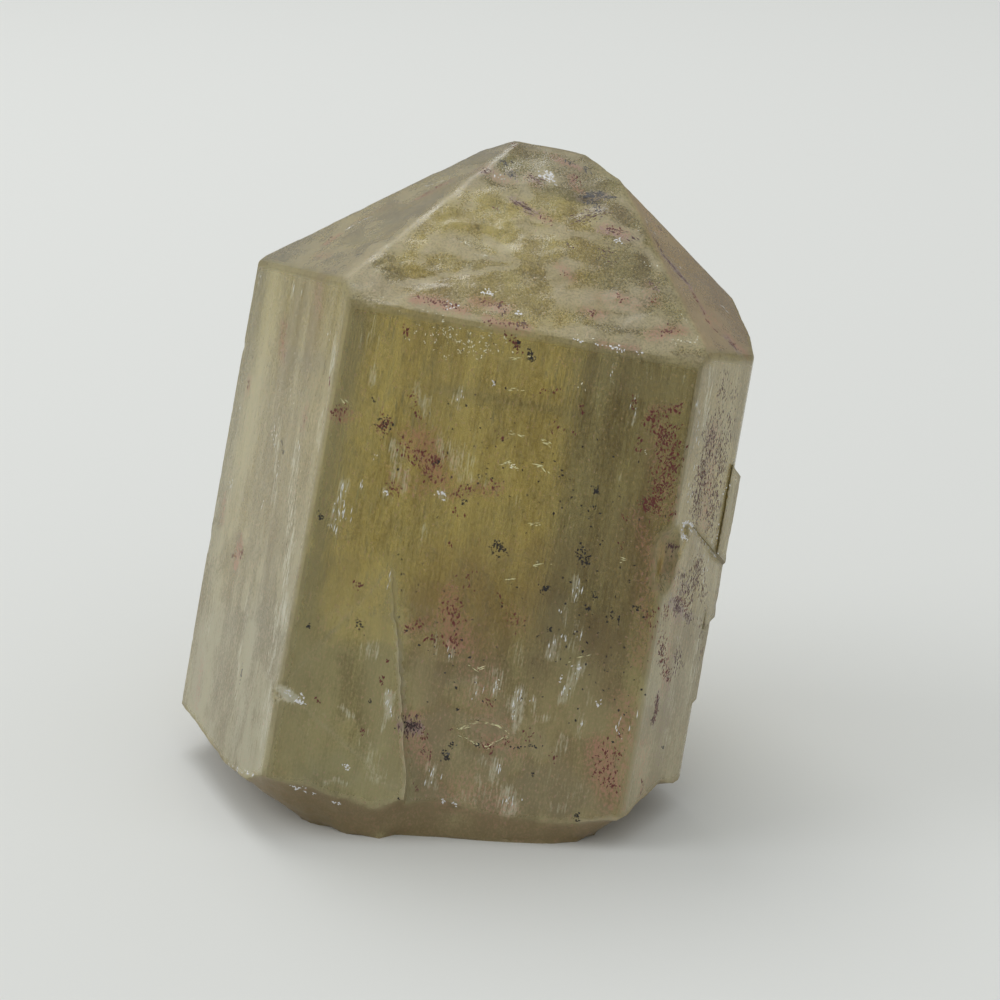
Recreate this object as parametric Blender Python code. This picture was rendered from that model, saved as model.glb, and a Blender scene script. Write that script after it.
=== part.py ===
"""A stubby apatite crystal: six prism faces, a six-sided pyramid and a broken base.

The crystal is cleaved from a block, plane by plane, in its own frame: x runs to the right, y to
the back and z along the long axis, with the origin in the middle. Thin parallel growths are
joined to it, chips are taken out of it, and the break at its lower end is cut along an uneven
surface. It then stands as it rests, leaning right and back, on the flat spot of the break.
"""

import math
from collections import namedtuple

import bmesh
import bpy
from mathutils import Matrix, Vector, noise

# All sizes below are in millimetres and all angles in degrees
MM = 0.001

# Resting pose: how the long axis leans, how the crystal is turned on it, and where its middle
# lies, seen from the middle of the resting face
LEAN_RIGHT = 10.3
LEAN_BACK = 11.9
TURN = -5.7
MIDDLE = Vector((-0.5, 3.0, 14.75))

# A face looks towards its azimuth, where 0 is the front and positive is to the right. Its slope
# is 90 on the prism and 0 on top. Its distance is measured from the middle of the crystal.
Face = namedtuple("Face", "azimuth slope distance")

BLOCK = 60.0
LOWER_END = Face(0.0, 180.0, 22.0)

FRONT = Face(-0.2, 89.8, 10.81)
LEFT_FRONT = Face(-60.2, 89.5, 11.36)
LEFT_FRONT_STRIP = Face(-58.5, 89.5, 11.44)
RIGHT_FRONT = Face(61.5, 89.3, 14.84)
RIGHT_STRIP = Face(99.0, 89.6, 12.60)
RIGHT_BACK = Face(119.5, 89.5, 9.75)
LEFT_BACK = Face(-120.0, 89.9, 11.64)
BACK = Face(180.0, 90.0, 11.1)
PRISM = (
    FRONT, LEFT_FRONT, LEFT_FRONT_STRIP, RIGHT_FRONT, RIGHT_STRIP, RIGHT_BACK, LEFT_BACK, BACK,
)

PYRAMID = (
    Face(0.1, 42.3, 13.66),
    Face(-60.6, 39.1, 14.52),
    Face(59.6, 39.7, 16.54),
    Face(119.9, 40.6, 15.42),
    Face(-119.9, 40.5, 15.14),
    Face(180.0, 40.3, 15.25),
)
# The tip is worn off by a level face and three sloping ones
TOP = (
    Face(0.0, 0.0, 18.18),
    Face(90.0, 26.0, 17.70),
    Face(88.0, 58.0, 17.02),
    Face(-90.0, 24.0, 17.05),
)

# Wear takes this much off an edge that is sharper than the limit, give or take the spread,
# which follows a noise pattern at this scale
EDGE_WEAR = 0.07
EDGE_WEAR_SPREAD = 0.05
EDGE_WEAR_SCALE = 0.31
WORN_EDGE_LIMIT = 20.0
# A corner nearer to a cut than this counts as lying on it
CUT_TOLERANCE = 0.0001

# A growth ledge lies on a prism face: how proud it stands, its sides along that face from the
# point nearest to the long axis, positive towards growing azimuth, its ends along the axis, and
# how far it stands proud of the neighbouring face where it reaches that face's edge
Ledge = namedtuple("Ledge", "name face proud side_low side_high end_low end_high lip")
LEDGES = (
    Ledge("ledge_right_upper", RIGHT_STRIP, 0.43, -14.0, -5.9, -4.3, 3.1, 0.10),
    Ledge("ledge_right_lower", RIGHT_STRIP, 0.14, -14.0, -5.6, -8.6, -4.0, 0.0),
    Ledge("ledge_back", BACK, 0.35, -6.0, 2.6, -18.5, 4.2, 0.05),
    Ledge("ledge_left_back", LEFT_BACK, 0.28, -4.2, 3.0, -18.5, 2.4, 0.05),
)
LEDGE_END_SLOPE = 40.3
LEDGE_ROOT = 0.25

# Chips are the hollows left by flakes. Each has a point on the surface, half its width and half
# its length there, its depth, and the azimuth and slope of the surface.
Chip = namedtuple("Chip", "name point half_width half_length depth azimuth slope")
CHIPS = (
    Chip("chip_right_edge", (11.10, -10.50, -1.15), 0.95, 1.60, 0.50, 30, 90),
    Chip("chip_right_pit", (11.72, -9.58, 0.36), 0.36, 0.42, 0.34, 61, 90),
    Chip("chip_left_edge", (-6.62, -10.84, -11.20), 0.75, 0.42, 0.26, -24, 90),
    Chip("chip_front_eye", (3.45, -10.72, -11.30), 1.70, 0.62, 0.22, 0, 90),
    Chip("chip_rim_left", (-4.40, -10.84, -16.20), 0.75, 0.55, 0.34, 0, 90),
    Chip("chip_rim_middle", (-2.55, -10.84, -16.55), 0.55, 0.50, 0.30, 0, 90),
    Chip("chip_rim_notch", (2.55, -10.45, -15.85), 0.95, 0.55, 0.32, 0, 90),
    Chip("chip_rim_right", (9.20, -10.80, -15.70), 0.90, 0.70, 0.30, 10, 90),
    Chip("chip_slope_left", (-4.00, -8.90, 10.37), 1.70, 0.75, 0.12, 0, 42.3),
    Chip("chip_slope_left_upper", (-2.30, -8.00, 11.19), 1.20, 0.85, 0.10, 0, 42.3),
    Chip("chip_slope_middle", (-0.90, -6.10, 12.92), 2.20, 0.90, 0.14, 0, 42.3),
    Chip("chip_slope_middle_upper", (1.20, -5.20, 13.74), 1.30, 0.65, 0.11, 0, 42.3),
    Chip("chip_slope_top", (3.60, -3.30, 15.47), 1.25, 0.70, 0.16, 0, 42.3),
    Chip("chip_slope_right", (4.60, -7.80, 11.37), 1.90, 0.95, 0.13, 0, 42.3),
    Chip("chip_slope_right_lower", (6.60, -8.70, 10.55), 1.40, 0.80, 0.11, 0, 42.3),
    Chip("chip_slope_back", (2.40, 6.20, 14.75), 1.90, 1.10, 0.16, 180, 40.3),
    Chip("chip_back_edge", (6.60, 9.60, -4.20), 0.90, 1.80, 0.45, 150, 90),
)
# The hollow is part of an egg shape whose middle lies as far outside as it is deep inside
CHIP_EGG = math.sqrt(0.75)
CHIP_SEGMENTS = 26
CHIP_RINGS = 14
# The egg is this uneven, in a noise pattern at this scale
CHIP_UNEVEN = 0.22
CHIP_UNEVEN_SCALE = 1.3

# The step that was split off the right front face: the face it left, and the wall above it
STEP_FACE = Face(65.4, 86.3, 14.64)
STEP_WALL = Face(153.0, 24.7, -0.53)

# The lower front was split off to the right of a ledge: three points of the split face, and
# two points of the wall, both in the front face's plane
SPLIT_FACE = ((-2.0, -10.82, -4.0), (10.0, -10.87, -14.0), (0.4, -10.36, -15.7))
SPLIT_WALL = ((-2.33, -10.82, -3.57), (0.41, -10.87, -15.69))
# Bearing of the ledge's lower end from the middle of the resting face
SPLIT_BEARING = -115.0

# The break's rim, by its bearing from the middle of the resting face: 0 is right, 90 is back.
# Then come its height above the resting face, and how far the flat spot reaches towards it.
RIM = (
    (-180, 2.55, 0.55), (-168, 2.25, 0.62), (-154, 2.15, 0.7), (-146, 2.45, 0.75),
    (-138, 3.25, 0.8), (-131, 3.1, 0.85), (-123, 2.45, 0.93), (-114, 1.85, 0.965),
    (-107, 2.05, 0.97), (-100, 2.3, 0.97), (-94, 2, 0.97), (-88, 1.65, 0.97), (-80, 1.45, 0.97),
    (-72, 1.35, 0.97), (-66, 1.4, 0.94), (-60, 1.6, 0.85), (-53, 1.95, 0.64), (-43, 2.25, 0.55),
    (-34, 1.75, 0.55), (-12, 2.25, 0.5), (16, 2.95, 0.5), (42, 2.05, 0.5), (68, 2.75, 0.5),
    (92, 1.95, 0.5), (118, 3.05, 0.5), (142, 2.35, 0.5), (164, 2.85, 0.53),
)
# The flat spot's outline wanders by this share, in a noise pattern at this scale taken on a
# circle at this height
FLAT_SHARE_WANDER = 0.02
WANDER_SCALE = 2.4
WANDER_HEIGHT = 0.5
# From the flat spot the break climbs to the rim, the more steeply the further out it is
BREAK_STEEPNESS = 1.3
FLAT_SPOT_DEPTH = 0.16
# Ripples on the break, and ripples on them: height, size, the level of the noise pattern each
# is taken from, how much finer and lower the second ones are, and how soon they start
RIPPLE_HEIGHT = 0.34
RIPPLE_SIZE = 3.1
RIPPLE_LEVEL = 4.0
FINE_RIPPLE_LEVEL = 9.0
FINE_RIPPLE_SCALE = 2.3
FINE_RIPPLE_SHARE = 0.5
RIPPLE_START = 1.6
# The break's surface is a sheet with this many spokes, and with rings at these shares of the way
# to the flat spot's end and from there to the rim. Outside the rim it runs on with this slope
# for this long, and the block below it ends at the floor.
SPOKES = 128
FLAT_RINGS = (0.35, 0.7, 1.0)
CLIMB_RINGS = (0.22, 0.46, 0.72, 1.0)
OUTSIDE_SLOPE = 0.7
OUTSIDE_LENGTH = 8.0
BREAK_FLOOR = -6.0

# Points nearer to each other than this are joined, and faces flatter than this are merged
WELD = 0.02
FLAT_LIMIT = 0.2

# Olive yellow-green crystal, see-through
COLOUR = (0.44, 0.40, 0.15, 1.0)
ROUGHNESS = 0.18
REFRACTIVE_INDEX = 1.63
TRANSMISSION = 0.85


def clear_scene():
    """Remove whatever the scene holds."""
    for old in list(bpy.data.objects):
        bpy.data.objects.remove(old, do_unlink=True)


def face_normal(azimuth, slope):
    """Direction that a face looks in."""
    turn = math.radians(azimuth)
    tilt = math.radians(slope)
    level = math.sin(tilt)
    return Vector((level * math.sin(turn), -level * math.cos(turn), math.cos(tilt)))


def opposite(face):
    """The same plane, with its outer side turned inwards."""
    return Face(face.azimuth + 180.0, 180.0 - face.slope, -face.distance)


def new_block(size):
    """A plain block around the origin."""
    block = bmesh.new()
    bmesh.ops.create_cube(block, size=size)
    return block


def cleave(block, point, normal):
    """Split off everything beyond a plane and close the cut."""
    parts = block.verts[:] + block.edges[:] + block.faces[:]
    cut = bmesh.ops.bisect_plane(
        block, geom=parts, dist=CUT_TOLERANCE, plane_co=point, plane_no=normal,
        clear_outer=True)
    rim = [part for part in cut["geom_cut"] if isinstance(part, bmesh.types.BMEdge)]
    if len(rim) > 2:
        bmesh.ops.contextual_create(block, geom=rim)


def cleave_faces(block, faces):
    """Cleave a block along a list of crystal faces."""
    for face in faces:
        normal = face_normal(face.azimuth, face.slope)
        cleave(block, normal * face.distance, normal)


def wear_edges(block):
    """Take the sharpest line off every edge, unevenly."""
    limit = math.radians(WORN_EDGE_LIMIT)
    cuts = []
    for edge in block.edges:
        if len(edge.link_faces) == 2 and edge.calc_face_angle(0.0) > limit:
            middle = (edge.verts[0].co + edge.verts[1].co) / 2.0
            normal = (edge.link_faces[0].normal + edge.link_faces[1].normal).normalized()
            wear = EDGE_WEAR + EDGE_WEAR_SPREAD * noise.noise(middle * EDGE_WEAR_SCALE)
            cuts.append((middle - normal * wear, normal))
    for point, normal in cuts:
        cleave(block, point, normal)


def add_object(name, shape, matrix):
    """Turn a shape in millimetres into an object in metres."""
    bmesh.ops.recalc_face_normals(shape, faces=shape.faces[:])
    bmesh.ops.scale(shape, vec=(MM, MM, MM), verts=shape.verts[:])
    mesh = bpy.data.meshes.new(name)
    shape.to_mesh(mesh)
    shape.free()
    item = bpy.data.objects.new(name, mesh)
    item.matrix_world = matrix
    bpy.context.scene.collection.objects.link(item)
    return item


def add_guide(name, shape, matrix):
    """An object that only cuts or joins."""
    guide = add_object(name, shape, matrix)
    guide.hide_render = True
    guide.display_type = "WIRE"
    return guide


def add_boolean(target, guide, operation):
    """Cut a guide out of the target, or join it."""
    step = target.modifiers.new(guide.name, "BOOLEAN")
    step.operation = operation
    step.solver = "EXACT"
    step.object = guide


def resting_matrix():
    """Place of the crystal's own frame in the resting pose."""
    lean_right = Matrix.Rotation(math.radians(LEAN_RIGHT), 4, "Y")
    lean_back = Matrix.Rotation(math.radians(-LEAN_BACK), 4, "X")
    turn = Matrix.Rotation(math.radians(TURN), 4, "Z")
    return Matrix.Translation(MIDDLE * MM) @ lean_right @ lean_back @ turn


def make_body(matrix):
    """Prism, pyramid and worn top."""
    block = new_block(BLOCK)
    cleave_faces(block, PRISM + PYRAMID + TOP + (LOWER_END,))
    wear_edges(block)
    return add_object("apatite_crystal", block, matrix)


def make_ledge(ledge, matrix):
    """A thin parallel growth with sloping ends, rooted in its prism face."""
    face = ledge.face
    outer = face_normal(face.azimuth, face.slope)
    along = Vector((0.0, 0.0, 1.0)).cross(outer).normalized()
    upper = face_normal(face.azimuth, LEDGE_END_SLOPE)
    lower = face_normal(face.azimuth, 180.0 - LEDGE_END_SLOPE)
    surface = outer * (face.distance + ledge.proud)
    top = surface + Vector((0.0, 0.0, ledge.end_high))
    bottom = surface + Vector((0.0, 0.0, ledge.end_low))
    block = new_block(BLOCK)
    cleave(block, surface, outer)
    cleave(block, outer * (face.distance - LEDGE_ROOT), -outer)
    cleave(block, along * ledge.side_high, along)
    cleave(block, along * ledge.side_low, -along)
    cleave(block, top, upper)
    cleave(block, bottom, lower)
    for other in PRISM:
        if other != face:
            normal = face_normal(other.azimuth, other.slope)
            cleave(block, normal * (other.distance + ledge.lip), normal)
    return add_guide(ledge.name, block, matrix)


def make_chip(chip, matrix):
    """An egg-shaped hollow."""
    shape = bmesh.new()
    bmesh.ops.create_uvsphere(
        shape, u_segments=CHIP_SEGMENTS, v_segments=CHIP_RINGS, radius=1.0)
    for vertex in shape.verts:
        place = vertex.co * CHIP_UNEVEN_SCALE + Vector(chip.point)
        vertex.co *= 1.0 + CHIP_UNEVEN * noise.noise(place)
    size = (chip.half_width / CHIP_EGG, chip.depth * 2.0, chip.half_length / CHIP_EGG)
    bmesh.ops.scale(shape, vec=size, verts=shape.verts[:])
    outward = face_normal(chip.azimuth, chip.slope) * chip.depth
    tilt = Matrix.Rotation(math.radians(chip.slope - 90.0), 4, "X")
    turn = Matrix.Rotation(math.radians(chip.azimuth), 4, "Z")
    place = Matrix.Translation(Vector(chip.point) + outward) @ turn @ tilt
    bmesh.ops.transform(shape, matrix=place, verts=shape.verts[:])
    return add_guide(chip.name, shape, matrix)


def make_step_cutter(matrix):
    """The slab that was split off the right front face."""
    block = new_block(BLOCK)
    cleave_faces(block, (opposite(STEP_FACE), STEP_WALL, LOWER_END))
    return add_guide("split_right", block, matrix)


def split_face():
    """A point of the face that the lower front was split to, and that face's normal."""
    first, second, third = (Vector(point) for point in SPLIT_FACE)
    normal = (second - first).cross(third - first).normalized()
    return first, normal if normal.y < 0.0 else -normal


def make_split_cutter(matrix):
    """The slab that was split off the lower front."""
    point, normal = split_face()
    wall_top, wall_foot = (Vector(end) for end in SPLIT_WALL)
    wall = (wall_foot - wall_top).cross(Vector((0.0, 1.0, 0.0))).normalized()
    if wall.x > 0.0:
        wall.negate()
    block = new_block(BLOCK)
    cleave(block, point, -normal)
    cleave(block, wall_top, wall)
    return add_guide("split_front", block, matrix)


def rim_at(bearing):
    """Height of the rim and reach of the flat spot, eased from one named bearing to the next."""
    after = [point for point in RIM if point[0] > bearing]
    low = [point for point in RIM if point[0] <= bearing][-1]
    high = after[0] if after else (RIM[0][0] + 360,) + RIM[0][1:]
    share = (bearing - low[0]) / (high[0] - low[0])
    share = share * share * (3.0 - 2.0 * share)
    return [low[i] + (high[i] - low[i]) * share for i in (1, 2)]


def rim_radius(bearing, height, matrix):
    """Distance from the middle of the resting face to the crystal's side at a bearing."""
    ray = Vector((math.cos(math.radians(bearing)), math.sin(math.radians(bearing)), 0.0))
    start = Vector((0.0, 0.0, height)) - MIDDLE
    sides = [(face_normal(face.azimuth, face.slope), face.distance) for face in PRISM]
    if SPLIT_BEARING < bearing < 0.0:
        point, normal = split_face()
        sides.append((normal, normal.dot(point)))
    radius = OUTSIDE_LENGTH * 3.0
    for normal, distance in sides:
        normal = matrix.to_3x3() @ normal
        facing = normal.dot(ray)
        if facing > 0.0:
            radius = min(radius, (distance - normal.dot(start)) / facing)
    return radius


def spoke_points(bearing, matrix):
    """Points of the break from the middle outwards, at one bearing."""
    turn = math.radians(bearing)
    around = Vector((math.cos(turn), math.sin(turn), WANDER_HEIGHT))
    height, flat = rim_at(bearing)
    flat += FLAT_SHARE_WANDER * noise.noise(around * WANDER_SCALE)
    radius = rim_radius(bearing, height, matrix)
    places = [(ring * flat, 0.0) for ring in FLAT_RINGS]
    places += [(flat + (1.0 - flat) * ring, ring) for ring in CLIMB_RINGS]
    points = []
    for reach, climb in places:
        x, y = around.x * reach * radius, around.y * reach * radius
        ripple = noise.noise(Vector((x, y, RIPPLE_LEVEL)) / RIPPLE_SIZE)
        fine = Vector((x, y, FINE_RIPPLE_LEVEL)) / RIPPLE_SIZE * FINE_RIPPLE_SCALE
        ripple += noise.noise(fine) * FINE_RIPPLE_SHARE
        rise = ripple * RIPPLE_HEIGHT * min(1.0, climb * RIPPLE_START)
        level = height * climb ** BREAK_STEEPNESS + rise - FLAT_SPOT_DEPTH * (1.0 - climb)
        points.append(Vector((x, y, level)))
    run = Vector((around.x, around.y, OUTSIDE_SLOPE)) * OUTSIDE_LENGTH
    return points + [points[-1] + run]


def make_break(matrix):
    """Everything below the broken surface, as one block."""
    shape = bmesh.new()
    middle = shape.verts.new((0.0, 0.0, -FLAT_SPOT_DEPTH))
    spokes = []
    for step in range(SPOKES):
        points = spoke_points(step * 360.0 / SPOKES - 180.0, matrix)
        spokes.append([shape.verts.new(point) for point in points])
    for number, spoke in enumerate(spokes):
        after = spokes[(number + 1) % SPOKES]
        shape.faces.new((middle, spoke[0], after[0]))
        for ring in range(len(spoke) - 1):
            shape.faces.new((spoke[ring], spoke[ring + 1], after[ring + 1], after[ring]))
    bmesh.ops.triangulate(shape, faces=shape.faces[:])
    rest = bmesh.ops.extrude_face_region(shape, geom=shape.faces[:])
    for part in rest["geom"]:
        if isinstance(part, bmesh.types.BMVert):
            part.co.z = BREAK_FLOOR
    return add_guide("break_below", shape, Matrix.Identity(4))


def flatten_contact(crystal):
    """Apply the cuts, and make the spot that touches the ground exactly flat."""
    bpy.context.view_layer.update()
    finished = crystal.evaluated_get(bpy.context.evaluated_depsgraph_get())
    shape = bmesh.new()
    shape.from_mesh(finished.to_mesh())
    bmesh.ops.transform(shape, matrix=crystal.matrix_world, verts=shape.verts[:])
    bmesh.ops.scale(shape, vec=(1.0 / MM,) * 3, verts=shape.verts[:])
    bmesh.ops.remove_doubles(shape, verts=shape.verts[:], dist=WELD)
    cleave_ground(shape)
    bmesh.ops.dissolve_limit(
        shape, angle_limit=math.radians(FLAT_LIMIT), verts=shape.verts[:], edges=shape.edges[:])
    bmesh.ops.triangulate(shape, faces=shape.faces[:])
    bmesh.ops.scale(shape, vec=(MM,) * 3, verts=shape.verts[:])
    bmesh.ops.transform(shape, matrix=crystal.matrix_world.inverted(), verts=shape.verts[:])
    finished.to_mesh_clear()
    crystal.modifiers.clear()
    shape.to_mesh(crystal.data)
    shape.free()


def cleave_ground(shape):
    """Cut along the ground, and close every spot that was opened."""
    parts = shape.verts[:] + shape.edges[:] + shape.faces[:]
    bmesh.ops.bisect_plane(
        shape, geom=parts, dist=WELD, plane_co=(0, 0, 0), plane_no=(0, 0, -1), clear_outer=True)
    rim = [edge for edge in shape.edges if edge.is_boundary]
    bmesh.ops.holes_fill(shape, edges=rim, sides=0)


def make_material():
    """Clear olive yellow-green crystal."""
    material = bpy.data.materials.new("apatite")
    material.use_nodes = True
    shader = material.node_tree.nodes["Principled BSDF"]
    shader.inputs["Base Color"].default_value = COLOUR
    shader.inputs["Roughness"].default_value = ROUGHNESS
    shader.inputs["Metallic"].default_value = 0.0
    shader.inputs["IOR"].default_value = REFRACTIVE_INDEX
    shader.inputs["Transmission Weight"].default_value = TRANSMISSION
    return material


def main():
    """Build the crystal."""
    clear_scene()
    matrix = resting_matrix()
    crystal = make_body(matrix)
    for ledge in LEDGES:
        add_boolean(crystal, make_ledge(ledge, matrix), "UNION")
    add_boolean(crystal, make_step_cutter(matrix), "DIFFERENCE")
    add_boolean(crystal, make_split_cutter(matrix), "DIFFERENCE")
    for chip in CHIPS:
        add_boolean(crystal, make_chip(chip, matrix), "DIFFERENCE")
    add_boolean(crystal, make_break(matrix), "DIFFERENCE")
    flatten_contact(crystal)
    crystal.data.materials.append(make_material())


main()
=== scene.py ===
import math
from collections import namedtuple
from itertools import product

import bmesh
import bpy
import numpy as np
from mathutils import Matrix, Vector, geometry
from mathutils.bvhtree import BVHTree


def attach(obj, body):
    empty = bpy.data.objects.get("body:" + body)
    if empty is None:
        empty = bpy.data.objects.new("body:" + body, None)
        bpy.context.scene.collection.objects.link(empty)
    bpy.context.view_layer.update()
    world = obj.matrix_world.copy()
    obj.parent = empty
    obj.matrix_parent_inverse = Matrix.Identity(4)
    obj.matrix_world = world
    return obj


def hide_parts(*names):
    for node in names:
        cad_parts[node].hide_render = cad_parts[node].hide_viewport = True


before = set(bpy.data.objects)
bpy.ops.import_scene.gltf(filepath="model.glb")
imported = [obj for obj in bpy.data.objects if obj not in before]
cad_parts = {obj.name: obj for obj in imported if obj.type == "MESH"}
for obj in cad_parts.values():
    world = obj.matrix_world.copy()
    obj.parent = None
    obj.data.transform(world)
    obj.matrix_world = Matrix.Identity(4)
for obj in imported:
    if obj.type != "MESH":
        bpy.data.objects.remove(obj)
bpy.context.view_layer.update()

MM = 0.001

# The crystal's own frame, as part.py has it: x to the right, y to the back and z along the long
# axis, with the origin in the middle
LEAN_RIGHT = 10.3
LEAN_BACK = 11.9
TURN = -5.7
MIDDLE = Vector((-0.5, 3.0, 14.75))

# Mesh spacing, in millimetres, of the fine surface
SPACING = 0.215
WELD = 0.004
FLAT_ANGLE = math.radians(0.3)
SMALL_FACE = 1.2
SMOOTH_STEPS = 14

# Azimuth and slope of the plane above the step on the right, and of the narrow strip behind it
STEP_WALL = (153.0, 24.7)
RIGHT_STRIP = (99.0, 89.6)
STRIP_START = 12.5

# The ledge on the lower front: its upper end, x and z, and how far right it runs per millimetre down
LEDGE_TOP = (-2.33, -3.57)
LEDGE_LEAN = 0.226


def resting_matrix():
    """Places the crystal's own frame, in metres, in the row's frame."""
    lean = Matrix.Rotation(math.radians(LEAN_RIGHT), 4, "Y")
    back = Matrix.Rotation(math.radians(-LEAN_BACK), 4, "X")
    turn = Matrix.Rotation(math.radians(TURN), 4, "Z")
    return Matrix.Translation(MIDDLE * MM) @ lean @ back @ turn


def face_normal(azimuth, slope):
    """A face looks towards its azimuth, 0 in front and growing to the right; its slope is 90 on
    the prism."""
    a, s = math.radians(azimuth), math.radians(slope)
    return math.sin(s) * math.sin(a), -math.sin(s) * math.cos(a), math.cos(s)


def field(points, size, seed):
    """Smooth noise from -1 to 1 at the points, with lumps of this size along x, y and z."""
    cells = 32
    table = np.random.default_rng(seed).uniform(-1.0, 1.0, (cells,) * 3)
    scaled = points / np.asarray(size) + 100.0
    cell = np.floor(scaled).astype(int)
    part = scaled - cell
    part = part * part * (3.0 - 2.0 * part)
    total = np.zeros(len(points))
    for corner in product((0, 1), repeat=3):
        weight = np.prod(np.where(corner, part, 1.0 - part), axis=1)
        index = (cell + corner) % cells
        total += weight * table[index[:, 0], index[:, 1], index[:, 2]]
    return total


def ramp(values, low, high):
    """Rises smoothly from 0 at low to 1 at high."""
    t = np.clip((values - low) / (high - low), 0.0, 1.0)
    return t * t * (3.0 - 2.0 * t)


def inside(points, outline):
    """True for each 2-D point that lies inside the closed outline."""
    x, y = points[:, 0][:, None], points[:, 1][:, None]
    x0, y0 = outline[:, 0], outline[:, 1]
    x1, y1 = np.roll(x0, -1), np.roll(y0, -1)
    with np.errstate(divide="ignore", invalid="ignore"):
        crossing = x0 + (y - y0) / (y1 - y0) * (x1 - x0)
    hits = ((y0 > y) != (y1 > y)) & (x < crossing)
    return hits.sum(axis=1) % 2 == 1


def grid_points(outline, spacing):
    """Even points inside a 2-D outline, in rows that are staggered like bricks."""
    low, high = outline.min(axis=0), outline.max(axis=0)
    row_height = spacing * math.sqrt(0.75)
    rows = np.arange(low[1] + row_height * 0.5, high[1], row_height)
    steps = np.arange(low[0], high[0] + spacing, spacing)
    if not len(rows) or not len(steps):
        return np.zeros((0, 2))
    u, v = np.meshgrid(steps, rows)
    u = u + (np.arange(len(rows)) % 2)[:, None] * spacing * 0.5
    points = np.column_stack([u.ravel(), v.ravel()])
    points = points[inside(points, outline)]
    kept = []
    for start in range(0, len(points), 2000):
        part = points[start:start + 2000]
        gaps = np.linalg.norm(part[:, None] - outline[None], axis=2).min(axis=1)
        kept.append(part[gaps > spacing * 0.55])
    return np.vstack(kept) if kept else points


def within_outline(triangles, count):
    """The triangles inside an outline that runs through the first count points in turn."""
    outline = {tuple(sorted((i, (i + 1) % count))) for i in range(count)}
    owners = {}
    for number, (a, b, c) in enumerate(triangles):
        for edge in ((a, b), (b, c), (c, a)):
            owners.setdefault(tuple(sorted(edge)), []).append(number)
    beside = [[] for _ in triangles]
    outer = []
    for edge, numbers in owners.items():
        if edge in outline:
            continue
        if len(numbers) == 1:
            outer.append(numbers[0])
        else:
            beside[numbers[0]].append(numbers[1])
            beside[numbers[1]].append(numbers[0])
    found = set(outer)
    while outer:
        for number in beside[outer.pop()]:
            if number not in found:
                found.add(number)
                outer.append(number)
    return [corners for number, corners in enumerate(triangles) if number not in found]


def fine_surface(mesh, spacing):
    """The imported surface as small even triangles, in millimetres in the crystal's frame.

    It gives the vertices, the triangles, the face that each triangle lies in, and those faces'
    normals, areas and middles."""
    bm = bmesh.new()
    bm.from_mesh(mesh)
    bm.transform(Matrix.Scale(1.0 / MM, 4) @ resting_matrix().inverted())
    bmesh.ops.remove_doubles(bm, verts=bm.verts[:], dist=WELD)
    bmesh.ops.dissolve_limit(bm, angle_limit=FLAT_ANGLE, verts=bm.verts[:], edges=bm.edges[:])
    by_cuts = {}
    for edge in bm.edges:
        cuts = math.ceil(edge.calc_length() / spacing) - 1
        by_cuts.setdefault(cuts, []).append(edge)
    for cuts, edges in sorted(by_cuts.items()):
        if cuts > 0:
            bmesh.ops.bisect_edges(bm, edges=edges, cuts=cuts)
    bm.verts.index_update()
    bm.normal_update()
    vertices = [vert.co.copy() for vert in bm.verts]
    triangles, sources = [], []
    normals, areas, middles = [], [], []
    for number, face in enumerate(bm.faces):
        normal = face.normal.copy()
        normals.append(tuple(normal))
        areas.append(face.calc_area())
        middle = face.calc_center_median()
        middles.append(tuple(middle))
        along = Vector((0.0, 0.0, 1.0)) - normal * normal.z
        if along.length < 0.1:
            along = Vector((0.0, 1.0, 0.0)) - normal * normal.y
        along.normalize()
        across = along.cross(normal)
        corners = [vert.index for vert in face.verts]
        flat = np.array([
            ((vert.co - middle).dot(across), (vert.co - middle).dot(along)) for vert in face.verts
        ])
        extra = grid_points(flat, spacing)
        numbers = list(corners)
        for u, v in extra:
            numbers.append(len(vertices))
            vertices.append(middle + across * float(u) + along * float(v))
        outline = [(i, (i + 1) % len(corners)) for i in range(len(corners))]
        points = [Vector(p) for p in flat] + [Vector(p) for p in extra]
        made = geometry.delaunay_2d_cdt(points, outline, [], 0, 1e-6, True)
        new_points, _, new_faces, from_points = made[0], made[1], made[2], made[3]
        lookup = [origin[0] if origin else len(numbers) for origin in from_points]
        for index, origin in enumerate(from_points):
            if not origin:
                u, v = new_points[index]
                lookup[index] = len(numbers)
                numbers.append(len(vertices))
                vertices.append(middle + across * u + along * v)
        placed = [[lookup[i] for i in triangle] for triangle in new_faces]
        for triangle in within_outline(placed, len(corners)):
            triangles.append([numbers[i] for i in triangle])
            sources.append(number)
    bm.free()
    return (
        np.array([tuple(v) for v in vertices]),
        np.array(triangles),
        np.array(sources),
        np.array(normals),
        np.array(areas),
        np.array(middles),
    )


def vertex_normals(vertices, triangles):
    """Each vertex's normal, and how well its triangles agree on it: 1 where they are flat."""
    a, b, c = (vertices[triangles[:, i]] for i in range(3))
    facing = np.cross(b - a, c - a)
    size = np.maximum(np.linalg.norm(facing, axis=1), 1e-12)
    total, weight = np.zeros_like(vertices), np.zeros(len(vertices))
    for i in range(3):
        np.add.at(total, triangles[:, i], facing)
        np.add.at(weight, triangles[:, i], size)
    length = np.maximum(np.linalg.norm(total, axis=1), 1e-12)
    return total / length[:, None], length / np.maximum(weight, 1e-12)


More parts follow.
